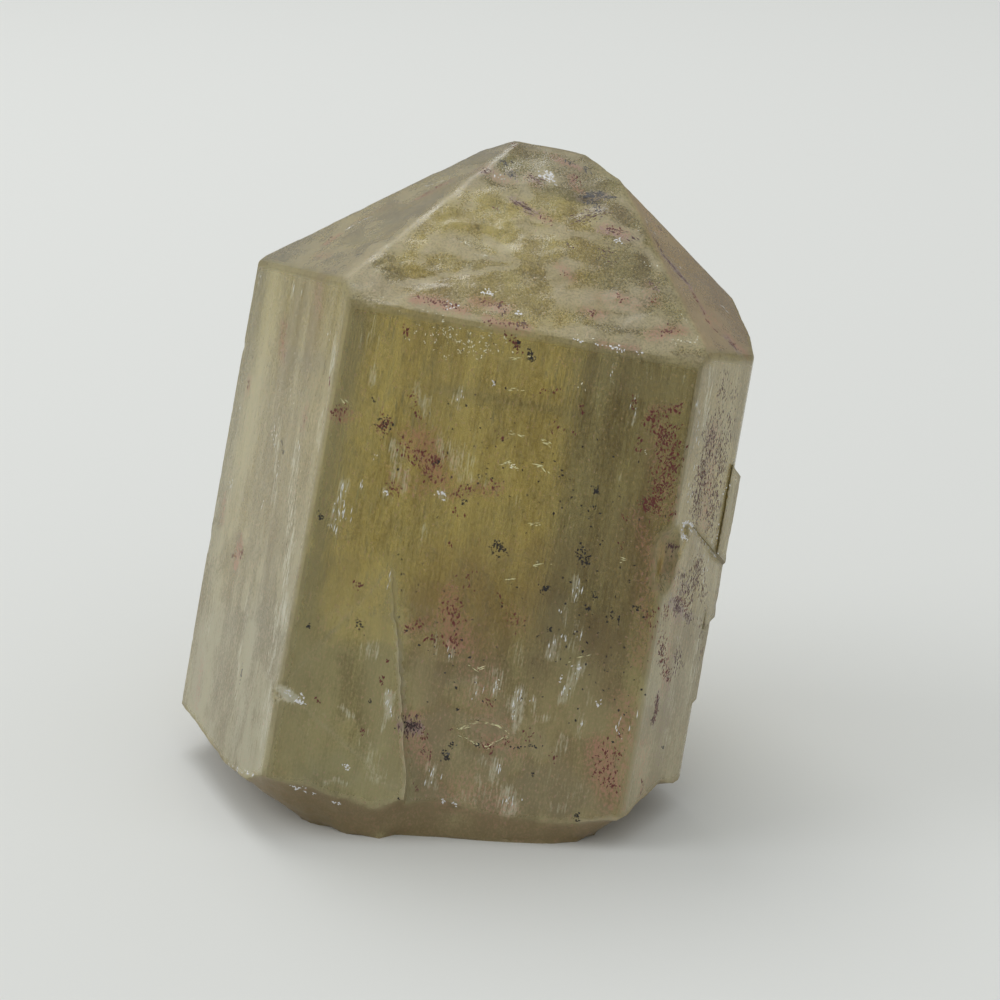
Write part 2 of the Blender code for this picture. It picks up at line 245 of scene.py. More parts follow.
def smooth(vertices, triangles, free, steps):
    """Moves the free vertices towards the middle of their neighbours, and the rest not at all."""
    pairs = np.vstack([triangles[:, [0, 1]], triangles[:, [1, 2]], triangles[:, [2, 0]]])
    pairs = np.vstack([pairs, pairs[:, ::-1]])
    count = np.bincount(pairs[:, 0], minlength=len(vertices))
    for _ in range(steps):
        total = np.zeros_like(vertices)
        np.add.at(total, pairs[:, 0], vertices[pairs[:, 1]])
        mean = total / np.maximum(count, 1)[:, None]
        vertices = np.where(free[:, None], mean, vertices)
    return vertices


def spread(values, triangles, steps):
    """Blends one value per vertex with its neighbours' values, step by step."""
    pairs = np.vstack([triangles[:, [0, 1]], triangles[:, [1, 2]], triangles[:, [2, 0]]])
    pairs = np.vstack([pairs, pairs[:, ::-1]])
    count = np.maximum(np.bincount(pairs[:, 0], minlength=len(values)), 1)
    for _ in range(steps):
        mean = np.bincount(pairs[:, 0], weights=values[pairs[:, 1]], minlength=len(values)) / count
        values = 0.5 * values + 0.5 * mean
    return values


# The faces that carry marks, by azimuth and slope
FACES = {
    "front": (-0.2, 89.8),
    "left": (-60.2, 89.5),
    "right": (61.5, 89.3),
    "front_slope": (0.1, 42.3),
    "left_slope": (-60.6, 39.1),
    "right_slope": (59.6, 39.7),
}


def face_frame(name):
    """A face's normal, and its directions across to the right and up along the crystal."""
    normal = np.array(face_normal(*FACES[name]))
    up = np.array((0.0, 0.0, 1.0)) - normal * normal[2]
    up /= np.linalg.norm(up)
    across = np.cross(up, normal)
    return normal, across / np.linalg.norm(across), up


# Every mark is a stroke on a face: where it starts and ends, across and along that face in
# millimetres from the point nearest to the crystal's middle, half its width, and its strength.
# These are grains and flecks that lie in the skin of the crystal.
RED = {
    "front": (
        (-3.7, 7.88, -3.64, 7.54, 0.16, 1.3), (1.68, 8.25, 1.96, 7.8, 0.22, 1.8),
        (1.2, 8.42, 1.32, 8.29, 0.16, 1), (-4.01, 3.29, -3.85, 2.71, 0.43, 0.9),
        (-2.78, 4.68, -2.32, 3.5, 0.22, 0.6), (-6.42, 3.16, -6.12, 2.91, 0.32, 0.7),
        (-5.95, 3.39, -5.92, 3.2, 0.16, 1.4), (3.29, 5.99, 4.26, 6.21, 0.16, 0.5),
        (5.51, 5.69, 5.68, 5.31, 0.16, 1), (7.92, 6.48, 8.15, 5.81, 0.16, 0.7),
        (4.11, 4.27, 5.6, 4.34, 0.27, 0.25), (1.71, 3.58, 1.84, 3.4, 0.16, 0.9),
        (-1.92, 1.8, -1.08, 1.04, 0.76, 0.65), (-1.17, 1.59, -0.95, 1.47, 0.22, 1.4),
        (-2.88, 2.39, -2.53, 1.84, 0.43, 0.5), (-3.15, 0.15, -2.65, -0.36, 0.38, 0.5),
        (0.04, 0.18, 1.12, 0.69, 0.22, 0.8), (1.69, 0.85, 2.19, 0.89, 0.32, 0.5),
        (0.18, -0.6, 0.58, -0.83, 0.27, 0.3), (8.76, 5.73, 10.24, 6.4, 0.27, 0.9),
        (9.67, 5.19, 10.03, 4.05, 0.38, 1.2), (10.18, 3.77, 10.16, 2.51, 0.59, 0.95),
        (10.16, 2.51, 9.93, 1.3, 0.59, 0.95), (9.32, 1.6, 9.56, 1.13, 0.27, 1),
        (8.59, 4.49, 8.77, 3.77, 0.22, 0.6), (10.89, 1.28, 11.08, 0.81, 0.27, 0.8),
        (8.88, 5.65, 9.05, 5.28, 0.38, 1), (8.5, 0.63, 8.53, 0.44, 0.16, 0.8),
        (0.27, -2.26, 0.31, -2.46, 0.16, 0.8), (8.59, -0.72, 8.63, -0.91, 0.16, 0.7),
        (-3.84, -4.92, -3.78, -5.32, 0.22, 1), (0.72, -5.09, 1.21, -6.13, 0.54, 0.6),
        (-1.22, -7.1, -0.34, -6.32, 0.22, 0.8), (0.05, -7.06, 0.41, -7.1, 0.27, 0.8),
        (1.07, -7.08, 1.59, -7.13, 0.38, 0.8), (3.9, -5.26, 4.36, -5.54, 0.43, 0.4),
        (-1.88, -9.44, -1.83, -9.74, 0.16, 1.2), (-2.39, -12.12, -2.27, -12.51, 0.16, 1.2),
        (-1.76, -8.64, -1.75, -8.74, 0.11, 1.2), (0.63, -11.8, 0.73, -12.04, 0.27, 0.9),
        (0.74, -12.71, 0.96, -13.08, 0.27, 0.8), (3.48, -9.71, 3.71, -9.87, 0.22, 1),
        (3.75, -11.77, 4, -12.04, 0.27, 0.9), (4.66, -11.44, 4.89, -11.61, 0.16, 0.9),
        (5.67, -10.84, 6.09, -10.91, 0.32, 0.4), (1.83, -11.36, 1.95, -11.45, 0.16, 0.8),
        (7.22, -11.83, 7.26, -12.03, 0.16, 1), (9.65, -11.21, 10.12, -12.67, 0.59, 0.45),
        (10.2, -12.5, 10.38, -12.67, 0.32, 0.9), (10.18, -11.01, 10.34, -11.34, 0.27, 0.8),
        (9.31, -12.1, 9.44, -12.28, 0.16, 1), (0.7, -14.53, 0.81, -14.88, 0.11, 1.4),
        (-4.9, -11.25, -4.68, -11.31, 0.16, 0.8), (9.81, 5.47, 10.41, 3.31, 0.65, 0.7),
        (9.18, 1.32, 10.1, 1.74, 0.38, 0.5), (10.53, -3.86, 10.84, -4.42, 0.32, 0.6),
        (10.32, -9.85, 10.38, -10.19, 0.22, 0.6), (3.15, -4.43, 3.31, -4.81, 0.22, 0.4),
        (1.49, -3.67, 1.77, -4.13, 0.43, 0.3),
    ),
    "left": (
        (-5.12, 3.04, -4.97, 2.73, 0.16, 0.9), (-1.51, 6.33, -1.16, 5.31, 0.38, 0.3),
        (3.29, 2.54, 3.48, 2.15, 0.22, 0.5), (3.07, 1.83, 3.21, 1.54, 0.11, 1.2),
        (5.46, 4.52, 5.62, 4.19, 0.16, 0.7), (-2.04, -5.28, -1.76, -5.82, 0.27, 0.8),
        (-3.01, -5.79, -2.84, -6.14, 0.22, 0.6),
    ),
    "right": (
        (-3.86, -4.84, -2.01, -7.5, 0.49, 0.45), (-2.73, -3.24, -1.01, -3.7, 0.32, 0.7),
        (-2.57, 3.3, 0.04, 1.16, 0.54, 0.25), (-3.73, -3.72, -3.33, -4.24, 0.32, 0.8),
        (-3.34, -5.37, -2.85, -6.42, 0.49, 0.5), (-2.25, -6.87, -2.05, -7.4, 0.32, 0.6),
        (-2.74, -8.18, -2.71, -9.43, 0.22, 1), (-2.94, -12.63, -2.75, -13.17, 0.27, 0.5),
    ),
    "front_slope": (
        (-3.37, -1.07, -1.17, -1.23, 0.32, 0.75), (-0.54, -0.48, 0.75, -0.58, 0.32, 0.6),
        (0.18, -1.75, 1.94, -1.73, 0.27, 0.7), (1.66, 6.38, 1.96, 6.14, 0.22, 1.1),
        (-0.84, 6.57, -0.77, 6.44, 0.16, 0.8), (-0.85, 11.81, -0.72, 11.67, 0.22, 0.8),
        (5.14, 0.2, 5.31, 0.1, 0.27, 0.7), (6.27, 1.68, 6.5, 1.45, 0.27, 0.7),
        (8.76, -0.39, 9.13, -0.08, 0.32, 0.8), (3.29, 2.78, 3.43, 2.52, 0.22, 0.6),
        (4.96, 6.4, 5.76, 6.3, 0.32, 0.7), (2.64, 10.52, 2.88, 9.6, 0.38, 0.3),
        (7.89, 1.81, 7.97, 1.54, 0.22, 0.6),
    ),
    "left_slope": (
        (-2.92, -0.26, -3.07, 0.46, 0.16, 0.8), (-0.65, 5.04, -0.42, 6.56, 0.16, 0.9),
    ),
    "right_slope": (
        (0.14, -0.7, -0.31, -2.5, 0.14, 1), (0.29, -4.39, 0.37, -4.79, 0.27, 1.2),
        (-0.59, -2.93, -0.36, -3.85, 0.22, 0.6),
    ),
}
DARK = {
    "front": (
        (-0.46, -11.7, 0.31, -11.71, 0.22, 0.9), (2.56, 7.81, 2.75, 7.34, 0.16, 1.8),
        (6.87, 1.8, 7.03, 1.48, 0.16, 1.6), (7, 0.81, 7.02, 0.72, 0.11, 1.4),
        (2.55, -1.94, 2.9, -2.18, 0.32, 1.2), (6.71, -1.47, 7.15, -1.95, 0.32, 1),
        (0.62, 0.04, 0.64, -0.06, 0.11, 1), (-6.26, -1.9, -6.19, -2.29, 0.11, 1.2),
        (-4.6, 4.09, -4.54, 4.01, 0.11, 1), (-3.48, -6.75, -3.4, -7.2, 0.16, 1.2),
        (5.32, -3.57, 5.49, -3.64, 0.19, 1.7), (7.78, -3.46, 7.9, -3.54, 0.16, 1.6),
        (7.61, -4.16, 7.72, -4.24, 0.14, 1.2), (9.85, -3.74, 10.02, -3.81, 0.16, 1.2),
        (8.84, -4.28, 8.86, -4.38, 0.14, 1), (9.12, -4.43, 9.15, -4.58, 0.14, 1.2),
        (5.92, -5.45, 5.98, -5.79, 0.11, 1.3), (2.12, -10.38, 2.18, -10.42, 0.11, 1.2),
        (1.87, -12.7, 2, -13.14, 0.19, 1.3), (2.11, -12.09, 2.16, -12.34, 0.16, 0.8),
        (8.91, -14.4, 9, -14.86, 0.11, 1.5), (3.36, -11.9, 3.43, -11.99, 0.16, 0.9),
        (6.35, -12.93, 6.42, -13.02, 0.14, 0.8), (-0.03, -15.35, 0.04, -15.44, 0.11, 1),
        (-3.94, 3.2, -3.82, 2.82, 0.38, 0.5), (-1.17, 1.59, -0.91, 1.53, 0.16, 1),
        (-5.89, -7.57, -5.87, -7.72, 0.14, 1.2), (-2.27, -10.75, -2.24, -10.9, 0.11, 1),
        (1.8, 8.12, 1.95, 7.85, 0.16, 1), (5.07, -11.78, 6.58, -11.39, 0.081, 0.9),
        (-1.25, 3.19, 8.52, -0.58, 3.2, 0.012), (6.12, -4.08, 9.97, -8.47, 2.7, 0.02),
        (-0.93, -4.38, 2.59, -9.88, 2.2, 0.012),
    ),
    "left": (
        (0.96, -10.95, 1.06, -12.64, 0.065, 1), (0.88, 0.83, 1.3, 0.26, 0.16, 0.6),
    ),
    "right": (
        (-1.29, -10.94, -1.12, -11.12, 0.11, 1),
    ),
}
PURPLE = {
    "front": (
        (-0.39, -11.79, 0.29, -11.61, 0.27, 1.6), (-0.53, -11.3, 0.31, -11.14, 0.16, 0.7),
        (-0.17, -12.21, 0.42, -12.05, 0.22, 0.5), (11.05, -0.41, 11.17, -0.79, 0.32, 0.8),
    ),
    "right": (
        (-1.67, 7.91, -1.39, 4.86, 0.65, 0.3), (-2.06, 5.45, -2.13, 1.01, 0.76, 0.95),
        (-0.72, 4.88, -0.27, 0.23, 0.65, 0.75), (-0.8, -1.32, -1.33, -2.86, 0.65, 0.7),
        (0.01, 5.93, -0.12, 3.34, 0.38, 0.35), (-2.91, -3.34, -1.96, -3.83, 0.43, 1.2),
        (-1.31, -4.11, -0.47, -4.56, 0.32, 0.9), (-2.73, -2.06, -1.23, -3.13, 0.54, 0.6),
        (-3.24, -5.63, -2.85, -6.42, 0.43, 0.4), (-1.56, -6.07, -0.91, -6.94, 0.43, 0.7),
        (-2.25, -6.87, -2.05, -7.4, 0.27, 0.5), (-2.78, -8.08, -2.75, -9.32, 0.22, 1.2),
        (-3.04, -9.41, -2.74, -9.63, 0.22, 0.8), (-0.8, -1.32, 0.45, -3.44, 0.54, 0.4),
        (0.4, -4.48, 1.92, -6.67, 0.65, 0.12), (-0.45, 7.96, -0.24, 5.4, 0.43, 0.25),
    ),
    "front_slope": (
        (0.48, -0.5, 0.6, -0.62, 0.16, 1.4), (0.84, -0.85, 0.96, -0.97, 0.16, 1.3),
        (1.81, -1.55, 1.94, -1.73, 0.22, 1.4), (-1.98, 9.25, -1.64, 9.1, 0.27, 0.8),
        (-0.02, 7.36, 1.31, 6.6, 0.22, 1.1), (0.62, 9.31, 1.07, 9.19, 0.32, 0.8),
        (3.5, 6.72, 4.56, 7.8, 0.43, 0.7), (6.32, 6.05, 6.49, 5.94, 0.22, 0.8),
        (5.06, 4.55, 5.45, 4.35, 0.43, 0.35), (3.26, 4.77, 3.34, 4.56, 0.22, 0.5),
        (7.9, 2.94, 8.04, 2.67, 0.27, 0.5), (4.96, 6.4, 5.75, 6.37, 0.27, 0.5),
    ),
    "right_slope": (
        (0.3, 2.69, -0.06, 1.4, 0.11, 0.8), (-0.06, 1.4, 0.31, -0.54, 0.14, 1.6),
        (0.39, -4.58, 0.37, -4.79, 0.16, 1), (1.89, 3.68, 1.27, 2.33, 0.16, 0.3),
    ),
}
BLUE = {
    "front": (
        (1.87, -12.7, 2.07, -12.98, 0.22, 0.4),
    ),
    "front_slope": (
        (-0.53, 9.49, -0.37, 9.2, 0.22, 1.8), (-1.02, 10.26, -0.78, 10.08, 0.22, 1.4),
        (3.4, 8.53, 4.44, 9.05, 0.22, 3.2), (4.49, 8.74, 5.19, 9.01, 0.16, 1.8),
        (3.71, 8.21, 4.42, 8.48, 0.16, 2.2), (2.29, 11.08, 2.46, 10.97, 0.22, 1),
        (3.19, 10.75, 3.43, 10.57, 0.27, 0.7), (4.14, 8.16, 4.43, 7.6, 0.22, 0.8),
    ),
    "left_slope": (
        (2.26, -0.46, 2.82, -0.47, 0.16, 0.8),
    ),
}
# White flecks at the rim and round the pit: partly real white chips, partly painted glints where light
# catches them.
WHITE_CHIPS_AND_GLINTS = {
    "front": (
        (-5.45, -15.82, -4.13, -15.99, 0.14, 1), (-3.32, -16.25, -2.74, -16.29, 0.14, 0.9),
        (-5.85, -11.43, -5.51, -11.57, 0.16, 1.5), (-5.77, -10.95, -5.56, -11.27, 0.081, 1.2),
        (-6.58, -11.05, -5.74, -11.46, 0.16, 0.5), (-3.01, -14.16, -2.68, -14.3, 0.14, 1.2),
        (2.09, -15.15, 3.08, -15.22, 0.11, 0.9), (-3.27, -0.32, -3.2, -0.46, 0.16, 1),
        (-0.59, 0.02, -0.29, 0.02, 0.22, 0.8), (0.96, 6.06, 0.99, 5.92, 0.16, 0.8),
        (6.82, -7.89, 6.93, -7.97, 0.16, 0.8), (7.54, -7.14, 7.71, -7.21, 0.16, 1),
        (8.9, -8.73, 8.97, -8.87, 0.16, 1),
    ),
    "left": (
        (1.37, -16.27, 5.74, -15.81, 0.081, 0.8),
    ),
    "right": (
        (-3.36, 0.5, -2.99, 0.65, 0.11, 2.6), (-2.99, 0.65, -2.25, 0.45, 0.11, 2.6),
        (-3.26, -0.06, -2.55, -0.22, 0.14, 3), (-3.42, 0.35, -3.26, -0.06, 0.081, 1.2),
        (-2.43, 0.34, -2.12, 0.09, 0.081, 1), (-2.08, 0.29, 1.3, -1.2, 0.054, 1.3),
        (0.14, 1.79, 0.96, 2.63, 0.081, 0.5), (0.69, 1.27, 0.71, -0.56, 0.065, 0.5),
    ),
    "front_slope": (
        (1.24, 9.81, 1.68, 9.36, 0.32, 1.9), (5.57, 5.78, 5.79, 5.68, 0.22, 1.1),
        (-0.42, 0.3, 0.12, 0.14, 0.22, 1.1), (1.5, -0.83, 1.62, -0.94, 0.16, 1),
        (-1.94, -1.14, -1.52, -1.25, 0.22, 0.8), (6.37, -2.17, 6.89, -2.25, 0.27, 0.7),
        (4.2, -2.01, 8.07, -2.09, 0.11, 0.5), (-1.13, 8.92, -0.91, 8.89, 0.27, 0.4),
    ),
}
# Silvery dashes of the silk tubes: partly real tubes, partly painted reflection of the light off them.
SILVER_TUBES_AND_SHEEN = {
    "front": (
        (-5.32, -0.25, -5.38, -1.38, 0.22, 0.9), (-5.5, -1.55, -5.52, -2.93, 0.22, 1),
        (-4.62, 0.39, -4.53, -0.4, 0.16, 1), (-4.11, 1.55, -4.09, 1.15, 0.14, 1.2),
        (-5.16, -1.49, -5.07, -2.29, 0.32, 0.7), (6.87, -2.87, 6.98, -3.77, 0.22, 0.8),
        (6.29, -4.46, 6.37, -4.85, 0.22, 0.6), (6.72, -5.7, 6.77, -6.26, 0.14, 1.6),
        (4.97, -8.91, 4.99, -10.45, 0.22, 1.1), (5.67, -9.14, 5.74, -9.54, 0.16, 0.7),
        (10.06, -9.28, 10.19, -10.23, 0.14, 1.4), (10.85, -8.87, 10.91, -9.22, 0.16, 0.8),
        (10.61, -9.48, 10.66, -9.78, 0.16, 0.7), (-1.34, -10.47, -1.19, -11.32, 0.32, 0.8),
        (-2.37, -4.29, -2.26, -4.93, 0.16, 0.7), (5.37, -14.26, 5.5, -14.75, 0.43, 0.6),
        (4.59, -12.8, 4.58, -13.32, 0.27, 0.7), (7.67, -7.27, 7.07, -8.72, 0.27, 0.6),
        (7.97, 6.49, 8.04, 5.04, 0.16, 0.5), (1.27, -7.35, 1.33, -7.95, 0.22, 0.5),
        (8.22, -9.73, 8.26, -10.24, 0.22, 0.5), (6.35, -6.18, 6.35, -6.7, 0.27, 0.5),
        (7.19, -5.21, 7.27, -5.91, 0.32, 0.35), (2.65, -9.04, 2.82, -9.42, 0.32, 0.4),
        (3.84, -8.61, 3.93, -9.11, 0.27, 0.7), (-0.44, 5.16, -0.42, 4.76, 0.22, 0.7),
        (6.66, 7.65, 6.7, 7.16, 0.27, 0.4), (1.38, -13.73, 1.52, -14.22, 0.38, 0.6),
    ),
    "left": (
        (-1.26, 8.79, -1.09, 8.44, 0.16, 0.9), (-0.03, 8.59, 0.14, 8.24, 0.11, 0.9),
        (1.03, -0.36, 1.14, -1.19, 0.16, 1.3), (-0.17, -2.68, -0.18, -2.95, 0.16, 1.4),
        (-0.56, 1.41, -0.21, 0.4, 0.32, 0.6), (3.07, 1.26, 3.33, 0.73, 0.16, 0.7),
        (-5.1, -2.28, -4.99, -2.81, 0.27, 0.6), (-6.88, -4.14, -6.7, -5.11, 0.22, 1),
        (-5.64, 1.6, -5.54, 1.39, 0.11, 1), (4.38, 6.83, 4.56, 6.45, 0.16, 0.8),
        (0.76, 3.44, 1.04, 2.85, 0.11, 0.7), (-6.13, 8.76, -5.95, 8.4, 0.27, 0.5),
    ),
    "right": (
        (-3.9, 6.8, -3.08, 1.77, 0.54, 0.25), (-3.13, -2.15, -2.98, -2.26, 0.11, 1.3),
        (0.15, -0.29, 0.16, -2.38, 0.43, 0.3),
    ),
    "left_slope": (
        (-2.99, 0.69, -2.38, 3.01, 0.11, 1.1), (-1.88, 5.86, -0.72, 6.85, 0.11, 1),
    ),
    "right_slope": (
        (2.32, -1.7, 2.49, -2.02, 0.22, 0.7), (0.59, 4.41, 0.95, -0.06, 0.22, 0.12),
    ),
}
GLINT = {
    "front": (
        (-3, -14.21, -2.73, -14.26, 0.11, 1), (-2.96, 7.72, 0.95, 7.82, 0.76, 0.55),
        (-1.64, 6.8, -1.38, 6.8, 0.16, 1.5), (0.16, 7.48, 0.42, 7.42, 0.16, 1.3),
        (-0.88, 7.34, -0.45, 7.22, 0.27, 1.1), (-1.82, 8.37, -1.47, 8.14, 0.27, 0.9),
        (-4.14, 8.66, -4.02, 8.58, 0.11, 1.3), (5.16, 6.53, 5.37, 6.46, 0.16, 1),
        (8.85, 3.88, 9.07, 3.82, 0.16, 1), (2.36, 2.23, 3, 2, 0.22, 1.2),
        (3.84, -8.61, 3.9, -8.91, 0.22, 0.5),
    ),
    "left": (
        (-0.46, 8.02, 1.87, 2.02, 0.16, 0.15),
    ),
    "right": (
        (0.68, 3.04, 2.08, 2.74, 0.081, 1), (0.4, -5.38, 1.27, -5.57, 0.14, 1),
    ),
    "front_slope": (
        (-5.87, 2.33, -5.63, 2.16, 0.22, 1), (-6.64, -0.97, -6.47, -1.08, 0.16, 1),
        (-3.09, 2.08, -2.91, 1.97, 0.16, 1.2), (-1.92, 3.69, -1.56, 3.4, 0.22, 1.1),
        (-1.25, 2.8, -0.23, 2.84, 0.14, 1.3), (-4.19, 5.27, -4.06, 5.15, 0.16, 0.8),
        (-1.81, 10.13, -1.14, 10.64, 0.22, 1.1), (6.46, 6.96, 6.58, 6.83, 0.22, 0.8),
        (7.45, 4.5, 7.69, 4.25, 0.22, 1.1), (9.56, 0.99, 9.78, 0.83, 0.27, 0.9),
        (8.66, -1.22, 10.48, -0.38, 0.32, 0.6), (-0.37, 0.31, 0.06, 0.2, 0.22, 0.8),
        (-6.23, -1.24, -1.79, -1.98, 0.11, 0.35), (-5.96, 1.24, 3.66, -1.43, 3.2, 0.012),
    ),
}
# Bright yellow lines along small cracks: painted glints, where light catches the crack rims.
GOLDEN_GLINTS = {
    "front": (
        (3.46, 2.28, 4.15, 2.36, 0.086, 1), (4.17, 2.26, 4.74, 1.91, 0.086, 1),
        (1.88, 5.73, 2.62, 5.81, 0.086, 1), (2.25, 3.68, 3.11, 3.64, 0.086, 1),
        (3.62, 3.63, 4.68, 3.32, 0.12, 0.9), (3.98, -0.61, 4.66, -0.48, 0.11, 0.9),
        (1.51, 7.22, 2.44, 7.39, 0.13, 0.5), (-6.17, 3.81, -5.83, 3.57, 0.16, 0.6),
        (2.28, 2.12, 2.75, 2.31, 0.11, 1.2), (2.6, 2.02, 3.01, 1.95, 0.11, 1.2),
        (2.26, -11.44, 3.32, -10.82, 0.081, 1.6), (3.32, -10.82, 4.24, -10.85, 0.081, 1.6),
        (4.24, -10.85, 4.86, -11.15, 0.081, 1.6), (2.4, -11.67, 3.8, -12.07, 0.07, 1.2),
        (3.8, -12.07, 4.88, -11.25, 0.07, 1.2), (2.32, -8.07, 2.81, -8.24, 0.086, 0.9),
        (2.81, -8.24, 3.26, -7.9, 0.086, 0.8), (3, -3.64, 3.97, -3.36, 0.086, 0.6),
        (4.59, -2.58, 5.4, -2.33, 0.12, 0.7), (8.79, -1.54, 9.2, -1.57, 0.11, 0.8),
        (6.68, -7.15, 8.09, -6.52, 0.07, 0.5),
    ),
}
# These are soft areas of the skin
CLOUD = {
    "front": (
        (-3.16, 1.93, -2.49, 0.17, 0.49, 0.9), (-1.17, 2.7, 0.64, 1.11, 0.54, 0.8),
        (-5.7, 8.93, -4.92, 6.81, 0.65, 0.5), (-2.62, 5.21, -2.01, 4.06, 0.32, 0.8),
        (4.97, 2.31, 6.32, -0.99, 0.43, 0.35), (-6.74, -11.03, -5.86, -11.33, 0.32, 1.4),
        (-3.77, -15.4, -3.38, -15.01, 0.22, 0.9), (-3.38, -15.01, -2.69, -15.08, 0.22, 0.9),
        (-1.8, -13.41, -1.21, -14.44, 0.38, 0.7), (-3.53, -11.46, -3.18, -11.7, 0.27, 0.9),
        (-4.65, -11.82, -4.21, -12, 0.27, 0.6), (-2.71, -11.71, -2.21, -12.86, 0.32, 0.5),
        (-5.17, -12.39, -4.85, -13.63, 0.27, 0.4), (-4.79, 5.77, -4.74, 4.88, 0.27, 0.9),
        (-5.7, 6.92, -5.62, 6.43, 0.43, 0.5), (-0.47, 5.35, -0.4, 4.66, 0.32, 0.8),
        (6.29, 6.08, 6.37, 5.39, 0.32, 0.5), (7.97, 6.49, 8.04, 5.04, 0.22, 0.8),
        (8.43, 8.37, 8.5, 7.69, 0.32, 0.5), (10.26, 7.9, 10.34, 7.22, 0.32, 0.5),
        (6.64, 7.75, 6.7, 7.16, 0.32, 0.6), (-0.36, 2.44, 0.4, 1.87, 0.65, 0.7),
        (-2.01, 4.06, -1.84, 3.39, 0.43, 0.6), (1.13, 1.2, 1.37, 0.94, 0.27, 0.7),
        (-3.31, -0.13, -3.17, -0.61, 0.27, 0.9), (-0.51, 0.13, -0.37, -0.09, 0.32, 0.9),
        (-1.77, -0.2, -1.72, -0.5, 0.22, 0.6), (-1.02, -1.84, -0.99, -2.6, 0.22, 0.7),
        (3.16, 0.56, 3.24, 0.12, 0.22, 0.5), (8.17, 2.39, 8.28, 1.81, 0.27, 0.5),
        (-5.45, -0.37, -5.41, -2.66, 0.43, 0.8), (-2.61, -7.88, -2.48, -8.37, 0.43, 0.8),
        (-3.12, -8.18, -3.07, -8.48, 0.38, 0.6), (-1.36, -10.37, -1.18, -11.42, 0.43, 1.1),
        (-1.57, -11.5, -1.49, -11.95, 0.27, 0.8), (-1.72, -13.29, -1.5, -14.54, 0.49, 0.7),
        (6.83, -2.93, 6.96, -3.92, 0.32, 0.9), (6.28, -4.36, 6.4, -5.05, 0.32, 0.7),
        (6.29, -6.09, 6.33, -6.91, 0.38, 0.8), (7.17, -5.11, 7.26, -6.17, 0.43, 0.6),
        (0.35, -7.01, 0.47, -7.7, 0.32, 0.7), (1.24, -7.15, 1.37, -8.15, 0.27, 0.8),
        (4.47, -6.69, 4.62, -7.54, 0.38, 0.6), (5, -8.8, 5.02, -10.65, 0.38, 1),
        (5.65, -9.04, 5.77, -9.69, 0.27, 0.8), (7.63, -7.07, 7.08, -8.82, 0.43, 0.9),
        (2.68, -8.93, 2.84, -9.57, 0.43, 0.7), (3.54, -8.05, 3.93, -9.11, 0.49, 0.8),
        (6.08, -10.04, 6.82, -9.9, 0.27, 0.8), (8.42, -8.36, 8.56, -8.84, 0.27, 0.7),
        (8.16, -9.43, 8.29, -10.44, 0.32, 0.7), (7.51, -10.9, 7.57, -11.51, 0.43, 0.8),
        (3.77, -12.49, 3.85, -12.94, 0.43, 0.7), (4.56, -12.6, 4.6, -13.42, 0.43, 0.9),
        (1.41, -13.62, 1.54, -14.32, 0.49, 0.8), (5.37, -14, 5.46, -14.81, 0.59, 1),
        (4.36, -14.09, 4.47, -14.69, 0.43, 0.7), (3.75, -13.79, 3.85, -14.34, 0.32, 0.7),
        (7.81, -14.2, 8.26, -14.17, 0.32, 0.7), (6.61, -11.79, 6.7, -12.29, 0.27, 0.6),
        (9.12, -9.41, 9.26, -10.15, 0.43, 0.4), (6.67, -12.71, 8.82, -13.33, 0.76, 0.4),
        (2.95, -14.78, 4.52, -14.99, 0.43, 0.6),
    ),
    "left": (
        (5.19, 7.08, 5.54, 4.08, 0.22, 1), (5.26, 3.53, 5.39, 1, 0.27, 0.8),
        (3.09, 0.64, 5.08, -7.8, 0.7, 0.85), (4.34, -7.44, 4.9, -14.1, 0.65, 0.7),
        (-0, 1.75, 1.11, -2.3, 0.43, 0.8), (-6.13, 8.76, -6.06, 8.01, 0.32, 0.6),
        (-6.49, -3.62, -6.9, -5.37, 0.27, 0.9), (-4.63, -1.65, -5.03, -3.37, 0.32, 0.7),
        (-4.5, -6.58, -4.84, -12.19, 0.49, 0.5), (0, -7.84, 0.8, -13.03, 0.38, 0.6),
        (-1.28, 8.84, -1.15, 8.27, 0.22, 0.8),
    ),
    "right": (
        (-3.14, 8.24, -2.87, 5.83, 0.54, 0.8), (-1.2, -0.28, -1.13, -3.39, 0.54, 0.6),
        (-1.46, -5.45, -0.83, -10.72, 0.43, 0.6), (0.4, -4.48, 0.88, -8.73, 0.65, 0.6),
    ),
}
